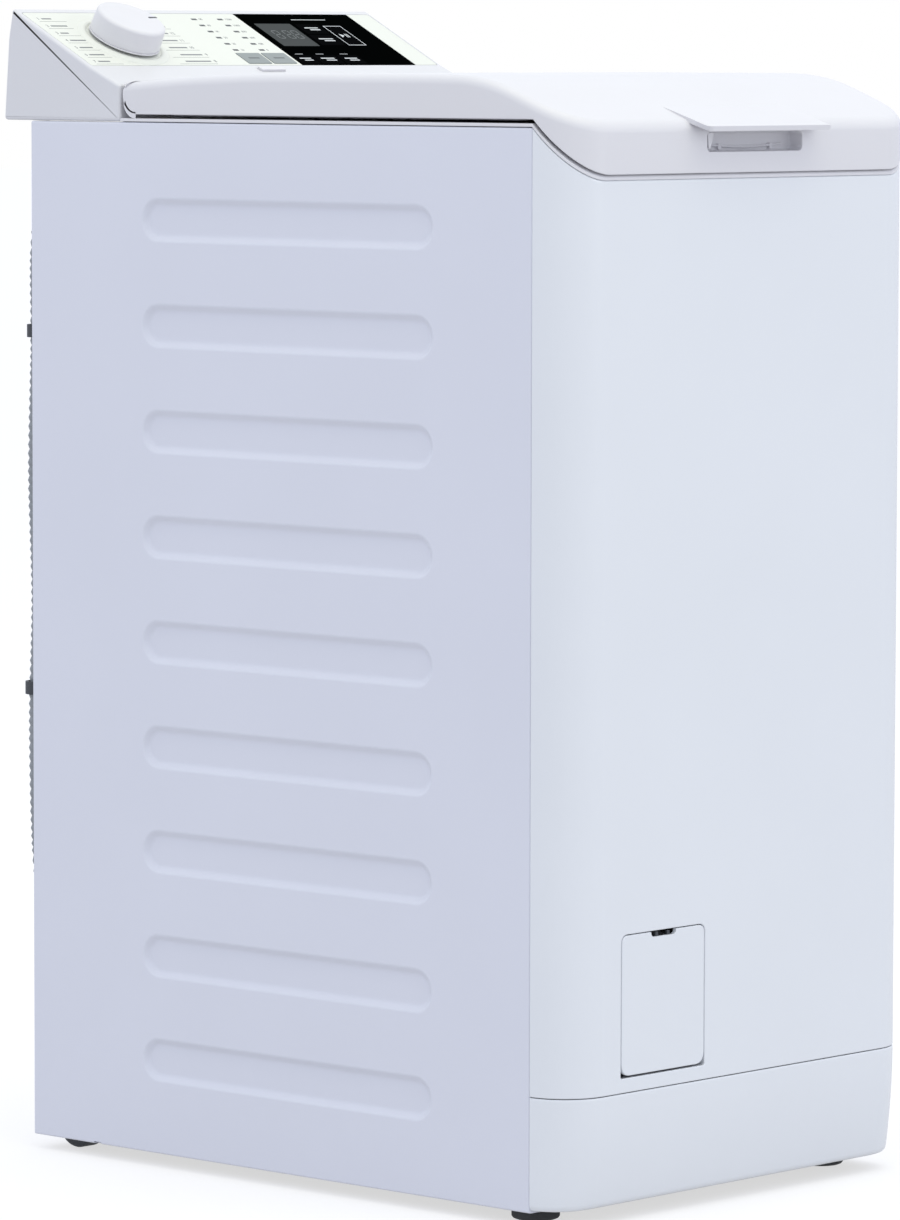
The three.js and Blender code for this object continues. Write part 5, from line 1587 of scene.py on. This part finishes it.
FRAME_LOOKS = {
    "Enamel": ["rear_panel", "rear_access_cover"],
    "Pale Plastic": ["console_base", "detergent_drawer", "pump_filter"],
    "White Plastic": ["lid_liner", "inlet_valve"],
    "Dark Plastic": ["base_tray", "door_lock", "program_selector", "drain_pump", "flap_latch",
                     "left_damper", "right_damper"],
    "Circuit Board": ["control_board"],
    "Zinc Steel": ["lid_hinge_rod", "drum_bearing_left", "drum_bearing_right",
                   "left_suspension_spring", "right_suspension_spring"],
    "Tub Plastic": ["tub_left_half", "tub_right_half"],
    "Copper Brown": ["heater"],
    "Casting": ["counterweight"],
    "Motor Metal": ["motor"],
    "Cast Aluminium": ["motor_pulley", "drum_pulley", "drum_left_end", "drum_right_end"],
    "Rubber": ["drive_belt"],
    "Drum Steel": ["drum_shell", "front_drum_flap", "rear_drum_flap"],
    "Seal Rubber": ["tub_gasket"],
    "Hose Rubber": ["drain_hose"],
}


def finish_frame_nodes():
    for finish, nodes in FRAME_LOOKS.items():
        for node in nodes:
            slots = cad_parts[node].data.materials
            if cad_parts[node].hide_render:
                continue
            slots.clear()
            slots.append(bpy.data.materials[finish])


# ---------------------------------------------------------------- stage


def build_camera():
    camera = bpy.data.cameras.new("camera")
    camera.lens, camera.sensor_width = 195.58, 36.0
    camera.clip_end = 50.0
    obj = bpy.data.objects.new("camera", camera)
    bpy.context.scene.collection.objects.link(obj)
    obj.matrix_world = (
        Matrix.Translation((-3.7722, -3.4517, 0.866))
        @ Matrix.Rotation(math.radians(-47.40), 4, "Z")
        @ Matrix.Rotation(math.radians(90 - 4.904), 4, "X")
        @ Matrix.Rotation(math.radians(0.117), 4, "Z")
    )
    bpy.context.scene.camera = obj


def light_on_object_only(tree, socket, lighting, seen):
    """Gives a socket one value where it lights the object and another where the camera sees it."""
    path = tree.nodes.new("ShaderNodeLightPath")
    pick = tree.nodes.new("ShaderNodeMix")
    pick.data_type = "RGBA" if isinstance(seen, tuple) else "FLOAT"
    low, high = [s for s in pick.inputs if s.name in "AB" and s.type == ("RGBA" if isinstance(
        seen, tuple) else "VALUE")]
    low.default_value, high.default_value = lighting, seen
    tree.links.new(path.outputs["Is Camera Ray"], pick.inputs[0])
    tree.links.new([s for s in pick.outputs if s.enabled][0], socket)


def build_backdrop():
    """A wide pale floor, as bright as the studio's white surroundings."""
    profile = [(0, -0.6), (3000, -0.6), (12000, -0.6), (40000, -0.6)]
    floor = turned("studio_floor", profile, "Z", (0, 0, 0), 64)
    face_outwards(floor, (0, 0, 1))
    made = bpy.data.materials.new("Studio Paper")
    made.use_nodes = True
    shader = made.node_tree.nodes["Principled BSDF"]
    shader.inputs["Base Color"].default_value = (0.36, 0.36, 0.37, 1)
    shader.inputs["Roughness"].default_value = 0.95
    shader.inputs["Specular IOR Level"].default_value = 0.0
    shader.inputs["Emission Color"].default_value = (1, 1, 1, 1)
    light_on_object_only(made.node_tree, shader.inputs["Emission Strength"], 0.35, 0.64)
    floor.data.materials.append(made)


def softbox(name, place, towards, size, power, colour=(1.0, 1.0, 1.0)):
    light = bpy.data.lights.new(name, "AREA")
    light.shape, light.size, light.size_y = "RECTANGLE", size[0], size[1]
    light.energy, light.color = power, colour
    obj = bpy.data.objects.new(name, light)
    bpy.context.scene.collection.objects.link(obj)
    obj.location = place
    obj.rotation_euler = (Vector(towards) - Vector(place)).to_track_quat("-Z", "Y").to_euler()
    return obj


def build_lights():
    softbox("overhead", (-0.2, -0.5, 3.3), (0, 0, 0.8), (3.0, 3.0), 29, (1.0, 0.96, 0.6))
    softbox("front_key", (1.6, -4.4, 1.9), (0, 0, 0.5), (2.0, 2.0), 18)
    world = bpy.data.worlds.new("studio")
    bpy.context.scene.world = world
    world.use_nodes = True
    background = world.node_tree.nodes["Background"]
    light_on_object_only(
        world.node_tree, background.inputs["Color"], (0.97, 1.02, 1.14, 1), (1.0, 1.0, 1.0, 1)
    )
    background.inputs["Strength"].default_value = 1.0
    bpy.context.scene.view_settings.view_transform = "Standard"


# ---------------------------------------------------------------- add-on


class CabinetSizes(bpy.types.PropertyGroup):
    rib_count: bpy.props.IntProperty(
        name="Ribs", description="Pressed recesses on each side panel", default=9, min=1, max=12)
    rib_depth: bpy.props.FloatProperty(
        name="Rib depth", description="How deep each recess is pressed", default=0.0035,
        unit="LENGTH", subtype="DISTANCE")
    sheet: bpy.props.FloatProperty(
        name="Sheet", description="Thickness of the cabinet's steel", default=0.001,
        unit="LENGTH", subtype="DISTANCE")


class LidSizes(bpy.types.PropertyGroup):
    edge_radius: bpy.props.FloatProperty(
        name="Edge radius", description="Rounding along the lid's upper edges", default=0.0075,
        unit="LENGTH", subtype="DISTANCE")


class ConsoleSizes(bpy.types.PropertyGroup):
    edge_radius: bpy.props.FloatProperty(
        name="Edge radius", description="Rounding along the console's side edges", default=0.0026,
        unit="LENGTH", subtype="DISTANCE")
    knob_diameter: bpy.props.FloatProperty(
        name="Knob diameter", description="Width of the programme knob at its skirt", default=0.0568,
        unit="LENGTH", subtype="DISTANCE")


class DrumSizes(bpy.types.PropertyGroup):
    hole_pitch: bpy.props.FloatProperty(
        name="Hole pitch", description="Distance between the drum's drain holes", default=0.0145,
        unit="LENGTH", subtype="DISTANCE")
    hole_diameter: bpy.props.FloatProperty(
        name="Hole diameter", description="Width of each drain hole", default=0.0042,
        unit="LENGTH", subtype="DISTANCE")


class WASHER_OT_stage(bpy.types.Operator):
    """Builds the camera, the pale floor and the soft lights"""

    bl_idname = "washer.stage"
    bl_label = "Studio"

    def execute(self, context):
        build_camera()
        build_backdrop()
        build_lights()
        return {"FINISHED"}


class WASHER_OT_finishes(bpy.types.Operator):
    """Makes every material of the machine"""

    bl_idname = "washer.finishes"
    bl_label = "Finishes"

    def execute(self, context):
        build_finishes()
        return {"FINISHED"}


class WASHER_OT_sides(bpy.types.Operator):
    """Models the two ribbed side panels"""

    bl_idname = "washer.sides"
    bl_label = "Side panels"

    def execute(self, context):
        build_side_panels(context.scene.washer_cabinet)
        return {"FINISHED"}


class WASHER_OT_front(bpy.types.Operator):
    """Models the front panel and its service door"""

    bl_idname = "washer.front"
    bl_label = "Front panel"

    def execute(self, context):
        build_front_panel()
        return {"FINISHED"}


class WASHER_OT_plinth(bpy.types.Operator):
    """Models the plinth under the front panel"""

    bl_idname = "washer.plinth"
    bl_label = "Plinth"

    def execute(self, context):
        build_plinth()
        return {"FINISHED"}


class WASHER_OT_base(bpy.types.Operator):
    """Models the screw feet and the rear wheels"""

    bl_idname = "washer.base"
    bl_label = "Feet and wheels"

    def execute(self, context):
        build_base()
        return {"FINISHED"}


class WASHER_OT_worktop(bpy.types.Operator):
    """Models the frame round the loading throat"""

    bl_idname = "washer.worktop"
    bl_label = "Worktop frame"

    def execute(self, context):
        build_worktop()
        return {"FINISHED"}


class WASHER_OT_lid(bpy.types.Operator):
    """Models the lid, its handle and its finger pocket"""

    bl_idname = "washer.lid"
    bl_label = "Lid"

    def execute(self, context):
        build_lid(context.scene.washer_lid)
        return {"FINISHED"}


class WASHER_OT_console(bpy.types.Operator):
    """Models the console's housing"""

    bl_idname = "washer.console"
    bl_label = "Console"

    def execute(self, context):
        build_console(context.scene.washer_console)
        return {"FINISHED"}


class WASHER_OT_fascia(bpy.types.Operator):
    """Models the white panel and its print"""

    bl_idname = "washer.fascia"
    bl_label = "Fascia"

    def execute(self, context):
        build_fascia()
        build_print()
        return {"FINISHED"}


class WASHER_OT_display(bpy.types.Operator):
    """Models the black glass and its print"""

    bl_idname = "washer.display"
    bl_label = "Display"

    def execute(self, context):
        build_display()
        build_glass_print()
        return {"FINISHED"}


class WASHER_OT_keys(bpy.types.Operator):
    """Models every key of the console"""

    bl_idname = "washer.keys"
    bl_label = "Keys"

    def execute(self, context):
        build_keys()
        return {"FINISHED"}


class WASHER_OT_knob(bpy.types.Operator):
    """Models the programme knob"""

    bl_idname = "washer.knob"
    bl_label = "Knob"

    def execute(self, context):
        build_knob(context.scene.washer_console)
        return {"FINISHED"}


class WASHER_OT_back(bpy.types.Operator):
    """Models the back sheet, its service cover and their screws"""

    bl_idname = "washer.back"
    bl_label = "Back"

    def execute(self, context):
        build_rear_panel()
        return {"FINISHED"}


class WASHER_OT_hose(bpy.types.Operator):
    """Models the corrugated hose and its clips"""

    bl_idname = "washer.hose"
    bl_label = "Drain hose"

    def execute(self, context):
        build_hose()
        return {"FINISHED"}


class WASHER_OT_valve(bpy.types.Operator):
    """Models the water valve and the console's bottom plate"""

    bl_idname = "washer.valve"
    bl_label = "Inlet valve"

    def execute(self, context):
        build_inlet_valve()
        build_console_base()
        return {"FINISHED"}


class WASHER_OT_liner(bpy.types.Operator):
    """Models the lid's inner plate and the soap drawer"""

    bl_idname = "washer.liner"
    bl_label = "Lid liner"

    def execute(self, context):
        build_liner()
        build_drawer()
        return {"FINISHED"}


class WASHER_OT_suspension(bpy.types.Operator):
    """Models the neck's gasket, the springs and the dampers"""

    bl_idname = "washer.suspension"
    bl_label = "Suspension"

    def execute(self, context):
        build_gasket()
        build_suspension()
        return {"FINISHED"}


class WASHER_OT_drum(bpy.types.Operator):
    """Models the pierced drum, its flaps and their latch"""

    bl_idname = "washer.drum"
    bl_label = "Drum"

    def execute(self, context):
        build_drum(context.scene.washer_drum)
        return {"FINISHED"}


class WASHER_OT_frame_finishes(bpy.types.Operator):
    """Gives the nodes kept from the frame their finishes"""

    bl_idname = "washer.frame_finishes"
    bl_label = "Frame finishes"

    def execute(self, context):
        finish_frame_nodes()
        return {"FINISHED"}


OPERATORS = [
    WASHER_OT_stage, WASHER_OT_finishes, WASHER_OT_sides, WASHER_OT_front, WASHER_OT_plinth,
    WASHER_OT_base, WASHER_OT_worktop, WASHER_OT_lid, WASHER_OT_console, WASHER_OT_fascia,
    WASHER_OT_display, WASHER_OT_keys, WASHER_OT_knob, WASHER_OT_back, WASHER_OT_hose,
    WASHER_OT_valve, WASHER_OT_liner, WASHER_OT_suspension, WASHER_OT_drum,
    WASHER_OT_frame_finishes,
]


class WASHER_PT_panel(bpy.types.Panel):
    """Lists the sizes and the operators in the sidebar"""

    bl_label = "Washing machine"
    bl_space_type = "VIEW_3D"
    bl_region_type = "UI"
    bl_category = "Washing machine"

    def draw(self, context):
        scene = context.scene
        for group in (scene.washer_cabinet, scene.washer_lid, scene.washer_console, scene.washer_drum):
            box_layout = self.layout.box()
            for key in group.__annotations__:
                box_layout.prop(group, key)
        for kind in OPERATORS:
            self.layout.operator(kind.bl_idname)


GROUPS = {
    "washer_cabinet": CabinetSizes, "washer_lid": LidSizes, "washer_console": ConsoleSizes,
    "washer_drum": DrumSizes,
}


def register():
    for kind in (*GROUPS.values(), *OPERATORS, WASHER_PT_panel):
        bpy.utils.register_class(kind)
    for name, kind in GROUPS.items():
        setattr(bpy.types.Scene, name, bpy.props.PointerProperty(type=kind))


def unregister():
    for name in GROUPS:
        delattr(bpy.types.Scene, name)
    for kind in (WASHER_PT_panel, *reversed(OPERATORS), *GROUPS.values()):
        bpy.utils.unregister_class(kind)


def main():
    register()
    bpy.ops.washer.stage()
    bpy.ops.washer.finishes()
    bpy.ops.washer.sides()
    bpy.ops.washer.front()
    bpy.ops.washer.plinth()
    bpy.ops.washer.base()
    bpy.ops.washer.worktop()
    bpy.ops.washer.lid()
    bpy.ops.washer.console()
    bpy.ops.washer.fascia()
    bpy.ops.washer.display()
    bpy.ops.washer.keys()
    bpy.ops.washer.knob()
    bpy.ops.washer.back()
    bpy.ops.washer.hose()
    bpy.ops.washer.valve()
    bpy.ops.washer.liner()
    bpy.ops.washer.suspension()
    bpy.ops.washer.drum()
    bpy.ops.washer.frame_finishes()
    deselect()


if __name__ == "__main__":
    main()
